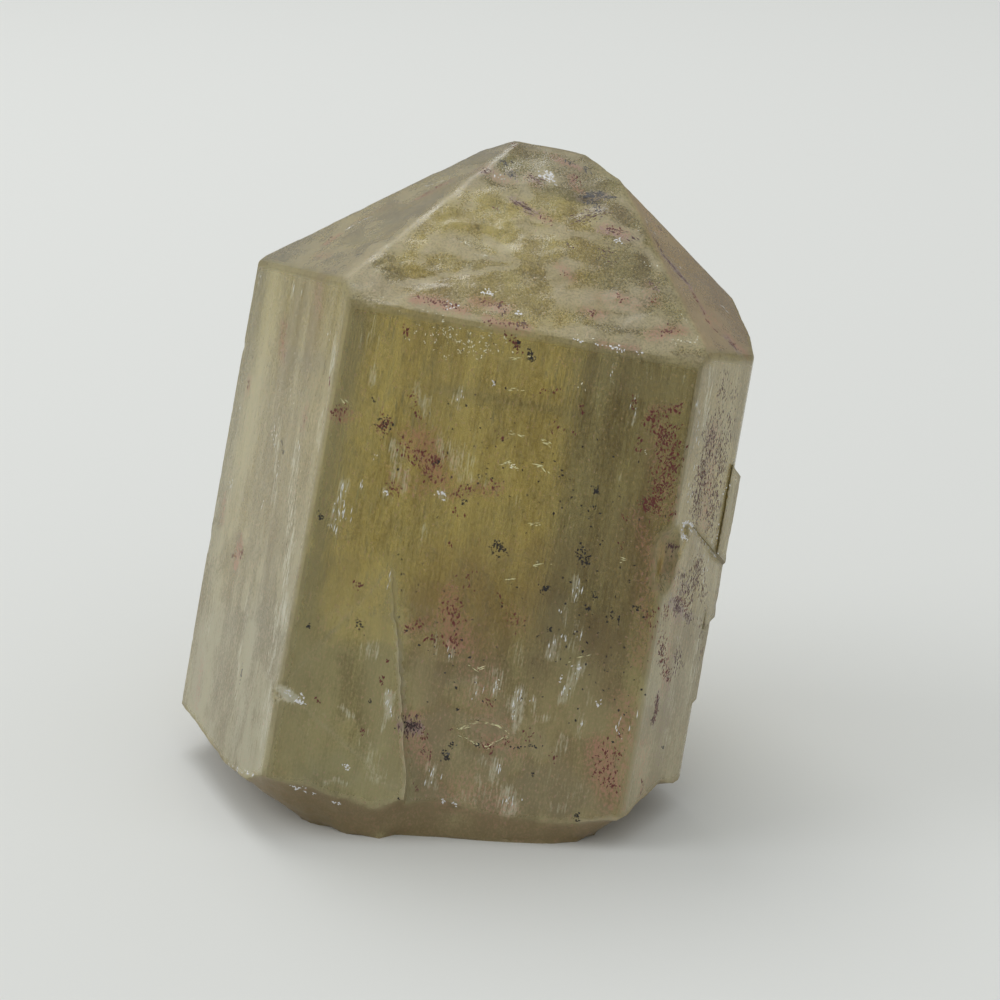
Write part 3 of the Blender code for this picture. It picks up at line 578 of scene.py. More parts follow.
PINK = {
    "front": (
        (-2.05, 2.54, -0.86, 0.98, 0.86, 0.8), (-2.8, 0.47, -1.7, -0.03, 0.54, 0.5),
        (0.05, 0.14, 2.18, 0.99, 0.38, 0.6), (0.68, -4.84, 1.42, -7.01, 0.7, 0.8),
        (-0.99, -6.95, -0.07, -6.37, 0.43, 0.6), (9.64, -11.11, 10.15, -12.82, 0.81, 0.8),
        (9.47, 5.15, 10.44, 1.3, 0.7, 0.45), (8.85, 5.79, 10.26, 6.3, 0.32, 0.6),
        (9.31, 0.58, 10.49, -1.73, 0.54, 0.6), (10.25, -1.78, 10.58, -6.31, 0.65, 0.5),
        (-0.08, -11.52, 0.27, -12.39, 0.76, 0.7), (0.76, -12.55, 0.9, -13.3, 0.54, 0.6),
        (2.65, -14.52, 4.97, -14.6, 0.86, 0.4), (-6.42, 3.16, -5.99, 3.03, 0.43, 0.7),
        (-3.99, 3.2, -3.8, 2.72, 0.65, 0.4), (4.08, -5.38, 4.36, -5.54, 0.65, 0.4),
        (3.93, -11.69, 5.46, -11.65, 0.54, 0.5), (10.21, -8.43, 10.63, -13.5, 0.65, 0.5),
        (2.06, -6.89, 3.76, -10.69, 1.1, 0.3), (3.3, -13.88, 3.89, -14.29, 0.54, 0.3),
    ),
    "left": (
        (-1.63, 6.58, -1.17, 5.04, 0.49, 0.6), (-5.2, 3.19, -4.89, 2.58, 0.38, 0.5),
        (-2.32, -5.33, -2.36, -6.16, 0.49, 0.9), (3.24, 2.64, 3.39, 2.04, 0.38, 0.5),
        (-5.61, -3.47, -5.39, -4.53, 0.43, 0.5), (2.34, 8.56, 2.74, 7.73, 0.54, 0.5),
        (-4.84, -12.19, -4.54, -14.35, 0.32, 0.4),
    ),
    "right": (
        (-4.17, -0.51, -1.95, -4.14, 0.65, 0.4), (-2.69, -3.34, -2.26, -8.01, 0.43, 0.4),
        (-3.39, -10.52, -2.77, -13.69, 0.54, 0.35), (-1.69, 5.36, -1.04, 0.75, 0.65, 0.4),
    ),
    "front_slope": (
        (-3.47, -1.1, -1.11, -1.29, 0.43, 1), (-0.64, -0.5, 0.92, -0.69, 0.49, 0.9),
        (0.18, -1.75, 2.05, -1.78, 0.38, 0.9), (4.95, 0.15, 5.46, 0.14, 0.43, 0.7),
        (6.17, 1.66, 6.6, 1.47, 0.43, 0.7), (8.34, -0.65, 9.51, 0.1, 0.49, 0.8),
        (5.75, -1.97, 7.75, -1.95, 0.27, 0.8), (3.1, 3.04, 3.72, 2.29, 0.32, 0.6),
        (4.96, 6.4, 5.77, 6.22, 0.43, 0.8), (1.59, 11.06, 2.95, 10.6, 0.27, 0.935),
        (2.52, 9.83, 3.17, 9.03, 0.24, 0.935), (0.27, 7.19, 1.88, 6.28, 0.38, 0.7),
        (-2.01, 9.41, -0.78, 8.77, 0.49, 0.6), (5.31, 1.21, 7.82, 1.5, 0.54, 0.4),
        (7.54, 2.92, 8.12, 1.57, 0.43, 0.5), (0.47, 9.27, 1.03, 9.1, 0.49, 0.6),
    ),
    "left_slope": (
        (-2.74, -0.33, -2.86, 0.49, 0.32, 0.8), (-0.65, 5.04, -0.31, 6.58, 0.27, 0.8),
        (-1.45, -1.17, -0.45, -1.11, 0.43, 0.5), (-3.3, 2.13, -2.31, 3.76, 0.32, 0.3),
    ),
    "right_slope": (
        (0.3, -2.71, 0.71, -4.49, 0.54, 0.35), (0.26, -0.68, -0.43, -3.72, 0.22, 0.6),
        (0.48, -4.04, 1.19, -4.92, 0.38, 0.7), (1.48, 5.25, 1.27, 3.1, 0.32, 0.3),
    ),
}
VIOLET = {
    "front": (
        (-0.45, -11.75, 0.4, -11.64, 0.38, 1.1),
    ),
    "right": (
        (-3.13, -3.33, -0.78, -4.34, 0.49, 0.8), (-2.17, 4.58, -1.69, 1.01, 0.65, 0.3),
        (-2.1, -2.59, -1.33, -11.73, 0.59, 0.45), (-2.74, -8.18, -2.78, -9.53, 0.32, 0.7),
    ),
    "front_slope": (
        (3.4, 8.53, 4.56, 9, 0.38, 1), (-0.54, 9.57, -0.36, 9.12, 0.32, 0.9),
        (-0.02, 7.36, 1.31, 6.6, 0.32, 0.9), (3.58, 6.89, 4.61, 7.81, 0.54, 0.7),
        (-1.88, 9.28, -1.59, 9.12, 0.38, 0.6), (0.68, 9.33, 1.07, 9.19, 0.38, 0.7),
        (4.92, 6.31, 5.81, 5.92, 0.43, 0.6), (7.9, 2.94, 8.04, 2.6, 0.38, 0.5),
        (2.23, 11.07, 3.38, 10.56, 0.32, 0.5),
    ),
    "right_slope": (
        (-0.09, 1.47, 0.34, -0.61, 0.16, 1.2), (0.34, -0.61, -0.25, -2.63, 0.16, 0.7),
        (0.31, -4.19, 0.4, -4.85, 0.38, 0.8),
    ),
}
FROST = {
    "front_slope": (
        (-5.81, -0.83, -4.44, -1.35, 0.65, 1), (-4.44, -1.35, -2.08, -1.76, 0.49, 1),
        (-6.43, -0.25, -5.72, -0.51, 0.43, 0.8), (-4.63, -0.37, -2.79, 0.72, 0.22, 0.7),
        (-2.79, 0.72, 0.08, 1.93, 0.22, 0.8), (0.08, 1.93, 2.8, 4.34, 0.22, 0.7),
        (-3.4, 3.53, -1.74, 2.66, 0.43, 0.8), (-1.74, 2.66, 0.95, 2.92, 0.22, 0.7),
        (-1.02, 4.48, 0.23, 3.19, 0.27, 0.8), (0.55, 5.76, 2.58, 5.84, 0.43, 0.8),
        (2.69, 5.08, 4.66, 5.92, 0.27, 0.6), (3.59, 0.76, 7.08, 1.3, 0.7, 1),
        (3.1, 1.67, 3.65, 3.49, 0.38, 0.9), (4.29, -1.63, 8.17, -1.34, 0.49, 1),
        (8.16, -1.2, 10.66, -0.19, 0.54, 1), (-2.08, -1.76, 2.23, -1.95, 0.27, 0.8),
        (6.94, 2.39, 9.96, 0.58, 0.49, 0.8), (5.51, -0.22, 8.49, 0.19, 0.49, 0.8),
        (-1.09, 9.01, -0.88, 8.74, 0.38, 1), (1.18, 9.87, 1.8, 9.31, 0.38, 0.9),
        (4.55, 6.76, 6.72, 6.16, 0.43, 0.7), (6.77, 5.79, 8.01, 4.18, 0.32, 0.7),
        (-2.08, 8.57, -2.12, 5.75, 0.43, 0.4), (-4.63, 5.08, -5.12, 2.22, 0.54, 0.6),
        (-6.25, 2.69, -6.72, -0.1, 0.49, 0.7), (0.02, 8.74, 0.65, 8.1, 0.27, 0.5),
        (-2.06, 5.38, -0.62, 6.16, 0.22, 0.5), (5.39, 4.41, 6.43, 4.38, 0.27, 0.5),
        (0.12, 11.49, 2.79, 11.72, 0.32, 0.5), (-2.86, 3.99, -3.98, 1.61, 0.32, 0.5),
    ),
}
LENS = {
    "front_slope": (
        (-1.73, 0.55, 0.57, 1.46, 0.49, 1), (-3.76, -0.66, -2.22, -0.18, 0.22, 0.9),
        (-5.93, 1.09, -4.11, 0.97, 0.49, 0.9), (-4.13, 5.21, -0.74, 5.34, 0.54, 0.7),
        (-1.73, 1.98, 0.59, 2.6, 0.22, 0.8), (-2.23, 11.01, -0.42, 9.85, 0.49, 0.9),
        (1.63, 5.19, 2.89, 3.74, 0.49, 0.7), (3.82, 4.46, 6.96, 4.29, 0.59, 0.9),
        (8.17, 1.96, 9.32, 0.92, 0.43, 0.8), (-0.14, 0.15, 2.66, 0.14, 0.65, 0.9),
        (1.93, 8.45, 2.92, 7.11, 0.43, 0.8), (5.1, 8.5, 5.97, 7.14, 0.38, 0.6),
        (1.1, 8.63, 2.24, 8.13, 0.32, 0.6), (1.06, 3.87, 2.75, 1.28, 0.49, 0.6),
    ),
}
WARM = {
    "front": (
        (1.14, -13.26, 9.9, -13.64, 1.4, 0.7), (4.52, -6.43, 9.53, -11.65, 1.4, 0.5),
        (-0.26, -5.28, 1.91, -14.67, 1.2, 0.8), (1.53, -3.92, 4.97, -14.6, 1.5, 0.8),
        (5.14, -4.26, 7.93, -14.02, 1.6, 0.7), (8.44, -5.69, 9.9, -13.64, 1.6, 0.8),
        (9.32, 4.62, 10.22, -4.33, 0.76, 0.3), (8.82, 0.49, 9.42, -5.5, 1.1, 0.4),
        (-0.12, -3.21, 7.72, -1.74, 1.1, 0.4), (-1.81, 2.07, -0.9, 1.23, 1.1, 0.5),
        (3.62, -11.64, 4.43, -11.59, 0.54, 0.9), (1.41, -14.76, 10.99, -14.06, 0.86, 0.6),
    ),
    "left": (
        (1.97, 8.79, 3.08, 5.3, 1.1, 0.6), (-6.4, -9.19, -4.8, -13.86, 0.76, 0.4),
        (2.23, 8.81, 2.41, 7.28, 0.59, 0.6), (-1.1, 6.37, -0.76, 2.71, 0.49, 0.5),
        (3.23, 3.25, 3.38, 1.21, 0.32, 0.5),
    ),
    "front_slope": (
        (-2.03, 11.48, 3.85, 11.84, 0.76, 0.6), (1.83, 10.88, 5.46, 7.8, 0.76, 0.5),
    ),
}
PALE = {
    "front": (
        (-6.17, 7.59, -6.14, -4.33, 0.7, 1), (-6.14, -4.33, -5.85, -13.82, 0.7, 0.9),
        (-5.82, -14.59, -0.08, -15.05, 0.86, 0.8), (-5.3, -4.17, -4.98, -14.95, 1.6, 0.75),
        (-2.91, -4.75, -0.82, -15.19, 0.97, 0.9), (-6.52, 7.27, -5.55, -4.22, 1.2, 0.5),
        (-4.07, 7.72, -1.51, 4.66, 1.6, 0.4), (4.08, 7.18, 10.08, 7.27, 0.86, 0.4),
        (-3.33, -14.11, -0.58, -15.14, 0.76, 0.9), (-6.93, 6.7, -6.23, -0.26, 0.49, 0.3),
        (-2.34, -3.62, -1.14, -9.56, 0.27, 0.5), (6.21, -4.57, 8.68, -9.75, 0.86, 0.5),
        (-1.14, 8.25, 2.05, 7.32, 1.1, 0.3),
    ),
    "right": (
        (1.31, 2.32, 1.43, -0.04, 0.27, 0.8),
    ),
}


def marked(vertices, facing, strokes):
    """How strongly the strokes mark each vertex."""
    most = np.zeros(len(vertices))
    wander = [0.22 * field(vertices, (0.9, 0.9, 1.2), seed) for seed in (71, 72)]
    wander = [shift + 0.10 * field(vertices, (0.4, 0.4, 0.5), 73 + i) for i, shift in enumerate(wander)]
    for name, face_strokes in strokes.items():
        normal, across, up = face_frame(name)
        chosen = np.flatnonzero((facing @ normal > 0.55) & (vertices @ normal > 6.0))
        u = (vertices @ across)[chosen] + wander[0][chosen]
        v = (vertices @ up)[chosen] + wander[1][chosen]
        for u0, v0, u1, v1, half_width, strength in face_strokes:
            du, dv = u1 - u0, v1 - v0
            share = ((u - u0) * du + (v - v0) * dv) / max(du * du + dv * dv, 1e-9)
            share = np.clip(share, 0.0, 1.0)
            gap = np.hypot(u - u0 - share * du, v - v0 - share * dv)
            value = np.clip(1.45 - gap / max(half_width, 0.22), 0.0, 1.0) * strength
            most[chosen] = np.maximum(most[chosen], value)
    return most


def regions(vertices, triangles, sources, normals, areas, middles):
    """How much each vertex lies on the prism, on the pyramid and on the break, from 0 to 1."""
    to_row = np.array(resting_matrix().to_3x3())
    down = normals @ to_row[2]
    kinds = np.full(len(normals), 2)
    kinds[(areas > SMALL_FACE) & (np.abs(normals[:, 2]) < 0.3)] = 0
    kinds[normals[:, 2] > 0.45] = 1
    rests = (areas > SMALL_FACE) & (down < -0.99)
    sums = np.zeros((3, len(vertices)))
    for kind in range(3):
        chosen = triangles[kinds[sources] == kind]
        np.add.at(sums[kind], chosen.ravel(), 1.0)
    shares = sums / np.maximum(sums.sum(axis=0), 1.0)
    shares = np.array([spread(share, triangles, 2) for share in shares])
    fixed = np.zeros(len(vertices), bool)
    fixed[triangles[rests[sources]].ravel()] = True
    return shares, fixed


def relief(vertices, triangles, facing, shares, sharp):
    """How far each vertex moves outwards, in millimetres."""
    prism, pyramid, broken = shares
    x, y, z = vertices.T
    rear = ramp(y, -1.0, 6.0)
    lines = 0.009 * field(vertices, (0.5, 0.5, 9.0), 11)
    lines += 0.014 * field(vertices, (1.1, 1.1, 14.0), 12)
    lines += 0.018 * field(vertices, (2.6, 2.6, 8.0), 13)
    lines *= 1.0 + 1.6 * rear
    healed = ramp(-z, 3.5, 8.0) * ramp(-y, 8.0, 10.0) * ramp(x, -3.5, -1.0)
    lines += healed * 0.035 * field(vertices, (1.2, 1.2, 2.6), 14)
    panes = field(vertices, (1.6, 1.3, 1.9), 87) + 0.4 * field(vertices, (0.6, 0.6, 0.8), 88)
    lines -= 0.018 * ramp(-z, 2.5, 6.0) * ramp(-y, 8.0, 10.0) * ramp(panes, 0.05, 0.13)
    terrace = field(vertices, (2.1, 1.6, 1.1), 21) + 0.45 * field(vertices, (0.8, 0.8, 0.6), 22)
    steps = -0.022 * ramp(terrace, 0.02, 0.14) - 0.018 * ramp(terrace, 0.42, 0.52)
    steps += 0.004 * field(vertices, (0.45, 0.45, 0.45), 23)
    steps += 0.03 * ramp(z, 15.0, 17.0) * field(vertices, (0.9, 0.9, 0.6), 24)
    rough = 0.075 * field(vertices, (1.0, 1.0, 0.8), 31) + 0.04 * field(vertices, (0.5,) * 3, 32)
    rough += 0.02 * field(vertices, (0.28,) * 3, 33)
    height = prism * lines + pyramid * steps + broken * rough
    nicks = ramp(field(vertices, (0.7,) * 3, 41), 0.25, 0.75)
    nicks += 0.5 * ramp(field(vertices, (0.35,) * 3, 42), 0.2, 0.7)
    return height - 0.05 * sharp * nicks


def ledge_wander(vertices):
    """How far each vertex moves to the right, so that the ledge on the lower front isn't straight."""
    x, y, z = vertices.T
    ledge = LEDGE_TOP[0] + (LEDGE_TOP[1] - z) * LEDGE_LEAN
    along = np.column_stack([z * 0.0, z * 0.0, z])
    wander = 0.15 * field(along, (1.0, 1.0, 1.3), 43) + 0.07 * field(along, (1.0, 1.0, 0.45), 44)
    reach = ramp(1.0 - np.abs(x - ledge), 0.0, 0.8)
    return wander * reach * ramp(-y, 8.0, 9.5) * ramp(-z, 3.0, 4.5)


def make_crystal():
    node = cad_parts["apatite_crystal"]
    surface = fine_surface(node.data, SPACING)
    vertices, triangles, sources, normals, areas, middles = surface
    free = np.ones(len(vertices), bool)
    large = areas[sources] > SMALL_FACE
    free[triangles[large].ravel()] = False
    vertices = smooth(vertices, triangles, free, SMOOTH_STEPS)
    facing, crease = vertex_normals(vertices, triangles)
    shares, fixed = regions(*((vertices,) + surface[1:]))
    sharp = spread(ramp(1.0 - crease, 0.004, 0.03) * ~free, triangles, 1)
    height = relief(vertices, triangles, facing, shares, sharp)
    height[fixed] = 0.0
    vertices = vertices + facing * height[:, None]
    vertices[:, 0] += ledge_wander(vertices)
    print("crystal", len(vertices), len(triangles), "free", int(free.sum()))
    to_row = np.array(resting_matrix())
    in_row = vertices * MM @ to_row[:3, :3].T + to_row[:3, 3]
    in_row[:, 2] = np.maximum(in_row[:, 2], 0.0)
    mesh = bpy.data.meshes.new("crystal")
    mesh.from_pydata(in_row.tolist(), [], triangles.tolist())
    mesh.update()
    x, y, z = vertices.T
    # Pale skin on the left and right faces: partly real haze, partly painted reflection of the bright
    # surroundings seen at a grazing angle.
    to_left, to_right = (facing @ face_frame(name)[0] for name in ("left", "right"))
    to_right = np.maximum(to_right, facing @ np.array(face_normal(*RIGHT_STRIP)))
    beyond = vertices @ np.array(face_normal(*RIGHT_STRIP)) > STRIP_START
    on_right = np.maximum(ramp(to_right, 0.75, 0.95), beyond)
    on_left = (0.85 - 0.35 * ramp(z, 2.0, 8.5)) * ramp(to_left, 0.75, 0.95)
    haze_and_sheen = np.maximum(on_left, 0.62 * on_right)
    tint = 0.8 * field(vertices, (0.8, 0.8, 7.0), 81) + 0.6 * field(vertices, (2.4, 2.4, 5.0), 82)
    tint += 0.45 * field(vertices, (0.4, 0.4, 2.2), 83)
    glassy = ramp(-z, 2.5, 6.0)
    tint += glassy * (0.5 * field(vertices, (1.1, 1.1, 1.3), 86) + 0.3 - ramp(x, -4.5, 1.0))
    panes = field(vertices, (1.6, 1.3, 1.9), 87) + 0.4 * field(vertices, (0.6, 0.6, 0.8), 88)
    tint += 0.8 * glassy * ramp(panes, 0.05, 0.17)
    patches = field(vertices, (1.5, 1.5, 0.9), 84) + 0.6 * field(vertices, (0.6, 0.6, 0.4), 85)
    frost = 0.62 * marked(vertices, facing, FROST) - 0.55 * marked(vertices, facing, LENS)
    frost = np.clip(0.36 + frost + 0.30 * patches, 0.0, 1.0)
    # Light grey painted on the small step wall and on the walls beyond the right strip: painted
    # highlight, where these walls face the light. The right prism face takes a lighter share of the same
    # grey, as painted reflection.
    wall = ramp(-(facing @ np.array(face_normal(*STEP_WALL))), 0.4, 0.8) * (z < 4.0) * (x > 9.0)
    lit_and_sheen = np.maximum(wall, 0.4 * on_right * np.maximum(shares[0], beyond))
    to_strip = facing @ np.array(face_normal(*RIGHT_STRIP))
    lit_and_sheen = np.maximum(lit_and_sheen, beyond * (1.0 - ramp(to_strip, 0.5, 0.85)))
    # Painted shade: the faces of the break that look down, low near the floor, are darkened in the
    # material as if they lay in shadow.
    above_floor = (vertices * MM @ to_row[2, :3] + to_row[2, 3]) / MM
    underside_shade = ramp(-(facing @ to_row[2, :3]), -0.35, 0.3) * ramp(-above_floor, -4.0, -3.0)
    low = ramp(-z, 4.0, 11.0) * (0.5 + 0.5 * ramp(x, -4.5, 0.0))
    marks = {
        "tint": tint,
        "haze_and_sheen": haze_and_sheen * np.maximum(shares[0], beyond),
        "tan": ramp(facing @ face_frame("right_slope")[0], 0.9, 0.97) * shares[1],
        "grey": ramp(facing @ face_frame("left_slope")[0], 0.9, 0.97) * shares[1],
        "cloud": marked(vertices, facing, CLOUD),
        "pink": marked(vertices, facing, PINK),
        "violet": marked(vertices, facing, VIOLET),
        "warm": marked(vertices, facing, WARM),
        "pale": marked(vertices, facing, PALE),
        "frost": frost * shares[1],
        "prism": shares[0],
        "broken": shares[2],
        "edge": sharp,
        "low": low,
        "underside_shade": underside_shade * shares[2],
        "lit_and_sheen": lit_and_sheen,
    }
    for name, values in marks.items():
        layer = mesh.attributes.new(name, "FLOAT", "POINT")
        layer.data.foreach_set("value", values.astype(np.float32))
    crystal = bpy.data.objects.new("crystal", mesh)
    bpy.context.scene.collection.objects.link(crystal)
    bm = bmesh.new()
    bm.from_mesh(mesh)
    for face in bm.faces:
        face.smooth = True
    for edge in bm.edges:
        edge.smooth = len(edge.link_faces) == 2 and edge.calc_face_angle(0.0) < math.radians(22)
    bm.to_mesh(mesh)
    bm.free()
    shape = BVHTree.FromPolygons(vertices.tolist(), triangles.tolist())
    return crystal, shape


class Nodes:
    """Builds a material's nodes. A value in inputs is a socket to link or a plain value."""

    def __init__(self, material):
        self.tree = material.node_tree

    def add(self, kind, inputs=(), **settings):
        node = self.tree.nodes.new(kind)
        for name, value in settings.items():
            setattr(node, name, value)
        for name, value in dict(inputs).items():
            if isinstance(value, bpy.types.NodeSocket):
                self.tree.links.new(value, node.inputs[name])
            else:
                node.inputs[name].default_value = value
        return node

    def math(self, operation, *values, clamp=False):
        node = self.add("ShaderNodeMath", enumerate(values), operation=operation, use_clamp=clamp)
        return node.outputs[0]

    def mix(self, factor, a, b):
        node = self.add("ShaderNodeMix", {0: factor, 6: a, 7: b}, data_type="RGBA")
        return node.outputs[2]

    def mix_value(self, factor, a, b):
        return self.add("ShaderNodeMix", {0: factor, 2: a, 3: b}, data_type="FLOAT").outputs[0]

    def value(self, name):
        return self.add("ShaderNodeAttribute", attribute_name=name).outputs["Fac"]

    def place(self, size, shift=0.0):
        """Coordinates in the crystal's own frame, in lumps of this size in millimetres."""
        stretch = self.add("ShaderNodeMapping", {"Vector": self.own}, vector_type="POINT")
        stretch.inputs["Scale"].default_value = [1.0 / s for s in size]
        stretch.inputs["Location"].default_value = (shift, shift * 0.7, shift * 1.3)
        return stretch.outputs[0]

    def start(self):
        coordinates = self.add("ShaderNodeTexCoord")
        resting = resting_matrix()
        own = self.add(
            "ShaderNodeMapping", {"Vector": coordinates.outputs["Object"]}, vector_type="TEXTURE"
        )
        own.inputs["Location"].default_value = resting.to_translation()
        own.inputs["Rotation"].default_value = resting.to_euler()
        own.inputs["Scale"].default_value = (MM, MM, MM)
        self.own = own.outputs[0]

    def noise(self, size, shift=0.0, detail=2.0, roughness=0.5):
        where = self.place(size, shift)
        inputs = {"Vector": where, "Scale": 1.0, "Detail": detail, "Roughness": roughness}
        return self.add("ShaderNodeTexNoise", inputs).outputs["Fac"]

    def between(self, value, low, high):
        """0 below low, 1 above high, and even in between."""
        inputs = {"Value": value, "From Min": low, "From Max": high}
        return self.add("ShaderNodeMapRange", inputs, interpolation_type="SMOOTHSTEP").outputs[0]


def crystal_material():
    material = bpy.data.materials.new("apatite")
    material.use_nodes = True
    n = Nodes(material)
    n.start()
    shader = n.tree.nodes["Principled BSDF"]
    prism, broken, tint = n.value("prism"), n.value("broken"), n.value("tint")
    haze_and_sheen, frost = n.value("haze_and_sheen"), n.value("frost")

    # Fine noise that runs along the crystal, and fine noise that runs nowhere
    streaks = n.noise((0.10, 0.10, 1.1), 3.0, 3.0, 0.65)
    grain = n.noise((0.11, 0.11, 0.18), 5.0, 2.0, 0.65)
    streaky = n.mix_value(prism, grain, streaks)

    # Olive crystal, in lighter and darker streaks
    tone = n.math("MULTIPLY_ADD", tint, 0.13, n.math("MULTIPLY", streaky, 0.5))
    tone = n.math("MULTIPLY_ADD", grain, 0.5, tone)
    fine_tone = n.between(tone, 0.34, 0.66)
    tone = n.between(tone, 0.26, 0.74)
    colour = n.mix(tone, (0.27, 0.21, 0.05, 1), (0.78, 0.71, 0.29, 1))
    colour = n.mix(n.math("MULTIPLY", n.value("warm"), 0.7), colour, (0.42, 0.31, 0.15, 1))
    colour = n.mix(n.math("MULTIPLY", n.value("pale"), 0.75), colour, (0.72, 0.66, 0.32, 1))

    # Dull pale skin of the left and right faces, and a little of it on the break. On the side faces it
    # is partly real haze
    # and partly painted reflection: the bright surroundings these faces show at a grazing angle are
    # painted in as pale skin.
    skin = n.mix(fine_tone, (0.43, 0.38, 0.24, 1), (0.72, 0.69, 0.55, 1))
    colour = n.mix(n.math("MULTIPLY", haze_and_sheen, 0.75), colour, skin)
    colour = n.mix(n.math("MULTIPLY", broken, 0.15), colour, skin)
    # Painted highlight: light grey on the small lit walls on the right, and a little painted reflection
    # on the right face.
    colour = n.mix(n.math("MULTIPLY", n.value("lit_and_sheen"), 0.8), colour, (0.52, 0.475, 0.41, 1))
    colour = n.mix(n.math("MULTIPLY", n.value("grey"), 0.45), colour, (0.62, 0.57, 0.44, 1))
    tan = n.value("tan")
    colour = n.mix(n.math("MULTIPLY", tan, 0.85), colour, (0.36, 0.245, 0.125, 1))

    # Milky streaks
    milky = n.math("MULTIPLY_ADD", n.value("cloud"), 0.42, streaky)
    milky = n.math("MULTIPLY_ADD", grain, 0.25, milky)
    milky = n.between(milky, 0.84, 1.18)
    colour = n.mix(n.math("MULTIPLY", milky, 0.75), colour, (0.72, 0.72, 0.60, 1))

    # Frosted skin of the pyramid
    frosted = n.mix(n.between(grain, 0.30, 0.70), (0.45, 0.385, 0.23, 1), (0.62, 0.55, 0.36, 1))
    frosting = n.between(n.math("MULTIPLY_ADD", grain, 0.45, frost), 0.36, 1.14)
    colour = n.mix(n.math("MULTIPLY", frosting, n.math("MULTIPLY_ADD", tan, -0.5, 0.7)), colour, frosted)

    # The lower end is duller and less clear.
    # The underside that faces the floor is painted dark olive-brown: painted shade, standing in for the
    # tinted shadow under the overhanging rim.
    colour = n.mix(n.math("MULTIPLY", n.value("low"), 0.42), colour, (0.33, 0.27, 0.13, 1))
    underside_shade = n.value("underside_shade")
    colour = n.mix(n.math("MULTIPLY", underside_shade, 0.9), colour, (0.21, 0.145, 0.058, 1))

    # Stains
    pink = n.between(n.math("MULTIPLY_ADD", n.value("pink"), 0.30, grain), 0.50, 0.90)
    colour = n.mix(n.math("MULTIPLY", pink, 0.85), colour, (0.50, 0.24, 0.16, 1))
    violet = n.between(n.math("MULTIPLY_ADD", n.value("violet"), 0.34, grain), 0.62, 0.86)
    colour = n.mix(n.math("MULTIPLY", violet, 0.65), colour, (0.20, 0.14, 0.15, 1))
    # The sharp edges are painted a darker olive and made less clear: painted shade, which damps the
    # bright line that the lamps light along the bevelled edges.
    edge = n.value("edge")
    colour = n.mix(n.math("MULTIPLY", edge, 0.55), colour, (0.31, 0.27, 0.16, 1))
    n.tree.links.new(colour, shader.inputs["Base Color"])

    clear = n.math("MULTIPLY_ADD", frosting, -0.28, 0.72)
    clear = n.math("MULTIPLY_ADD", n.value("low"), -0.34, clear)
    clear = n.math("MULTIPLY_ADD", n.value("lit_and_sheen"), -0.4, clear)
    clear = n.math("MULTIPLY_ADD", tan, -0.25, clear)
    clear = n.math("MULTIPLY_ADD", edge, -0.22, clear)
    clear = n.math("MULTIPLY_ADD", underside_shade, -0.30, clear)
    clear = n.math("MULTIPLY_ADD", haze_and_sheen, -0.20, clear)
    clear = n.math("MULTIPLY_ADD", milky, -0.30, clear)
    clear = n.math("MULTIPLY_ADD", pink, -0.20, clear)
    clear = n.math("MULTIPLY_ADD", violet, -0.35, clear, clamp=True)
    n.tree.links.new(clear, shader.inputs["Transmission Weight"])

    rough = n.math("MULTIPLY_ADD", frosting, 0.26, 0.14)
    rough = n.math("MULTIPLY_ADD", broken, 0.12, rough)
    rough = n.math("MULTIPLY_ADD", edge, 0.5, rough)
    rough = n.math("MULTIPLY_ADD", grain, 0.10, rough)
    n.tree.links.new(rough, shader.inputs["Roughness"])

    bump = n.add("ShaderNodeBump", {"Strength": 0.55, "Distance": 0.00002, "Height": streaky})
    n.tree.links.new(bump.outputs[0], shader.inputs["Normal"])

    shader.inputs["IOR"].default_value = 1.63
    absorb = n.add("ShaderNodeVolumeAbsorption", {"Color": (0.86, 0.75, 0.13, 1.0), "Density": 100.0})
    n.tree.links.new(absorb.outputs[0], n.tree.nodes["Material Output"].inputs["Volume"])
    return material


OCTAHEDRON = (
    ((0, 0, 1), (1, 0, 0), (0, 1, 0), (-1, 0, 0), (0, -1, 0), (0, 0, -1)),
    ((0, 1, 2), (0, 2, 3), (0, 3, 4), (0, 4, 1), (5, 2, 1), (5, 3, 2), (5, 4, 3), (5, 1, 4)),
)


def scatter(centres, sizes, tilts, turns):
    """One small eight-faced grain at each centre, in millimetres in the crystal's frame."""
    corners, faces = (np.array(part, float if i == 0 else int) for i, part in enumerate(OCTAHEDRON))
    shapes = corners[None] * sizes[:, None]
    cos, sin = np.cos(turns)[:, None], np.sin(turns)[:, None]
    x, y, z = (shapes[:, :, i] for i in range(3))
    x, y = x * cos - y * sin, x * sin + y * cos
    x, z = x + z * tilts[:, 0][:, None], z
    y = y + z * tilts[:, 1][:, None]
    vertices = np.stack([x, y, z], axis=2) + centres[:, None]
    triangles = faces[None] + (np.arange(len(centres)) * len(corners))[:, None, None]
    return vertices.reshape(-1, 3), triangles.reshape(-1, 3)


LOOK_OUT = Vector((0.31, 0.17, 0.93)).normalized()


def well_inside(shape, points, sizes, margin):
    """True for each grain whose middle and two ends lie in the crystal, deeper than the margin."""
    kept = []
    for point, size in zip(points, sizes):
        ends = (0.0, -size[2], size[2])
        kept.append(all(held(shape, Vector(point) + Vector((0, 0, end)), margin) for end in ends))
    return np.array(kept)


def held(shape, point, margin):
    _, normal, _, _ = shape.ray_cast(point, LOOK_OUT)
    if normal is None or normal.dot(LOOK_OUT) <= 0.0:
        return False
    return shape.find_nearest(point)[3] > margin


def plain_material(name, colour, roughness):
    material = bpy.data.materials.new(name)
    material.use_nodes = True
    n = Nodes(material)
    n.start()
    shader = n.tree.nodes["Principled BSDF"]
    dark = tuple(c * 0.6 for c in colour) + (1.0,)
    light = tuple(min(c * 1.3, 1.0) for c in colour) + (1.0,)
    n.tree.links.new(n.mix(n.noise((0.3, 0.3, 0.5), 7.0), dark, light), shader.inputs["Base Color"])
    shader.inputs["Roughness"].default_value = roughness
    return material


SILK_COUNT = 30000

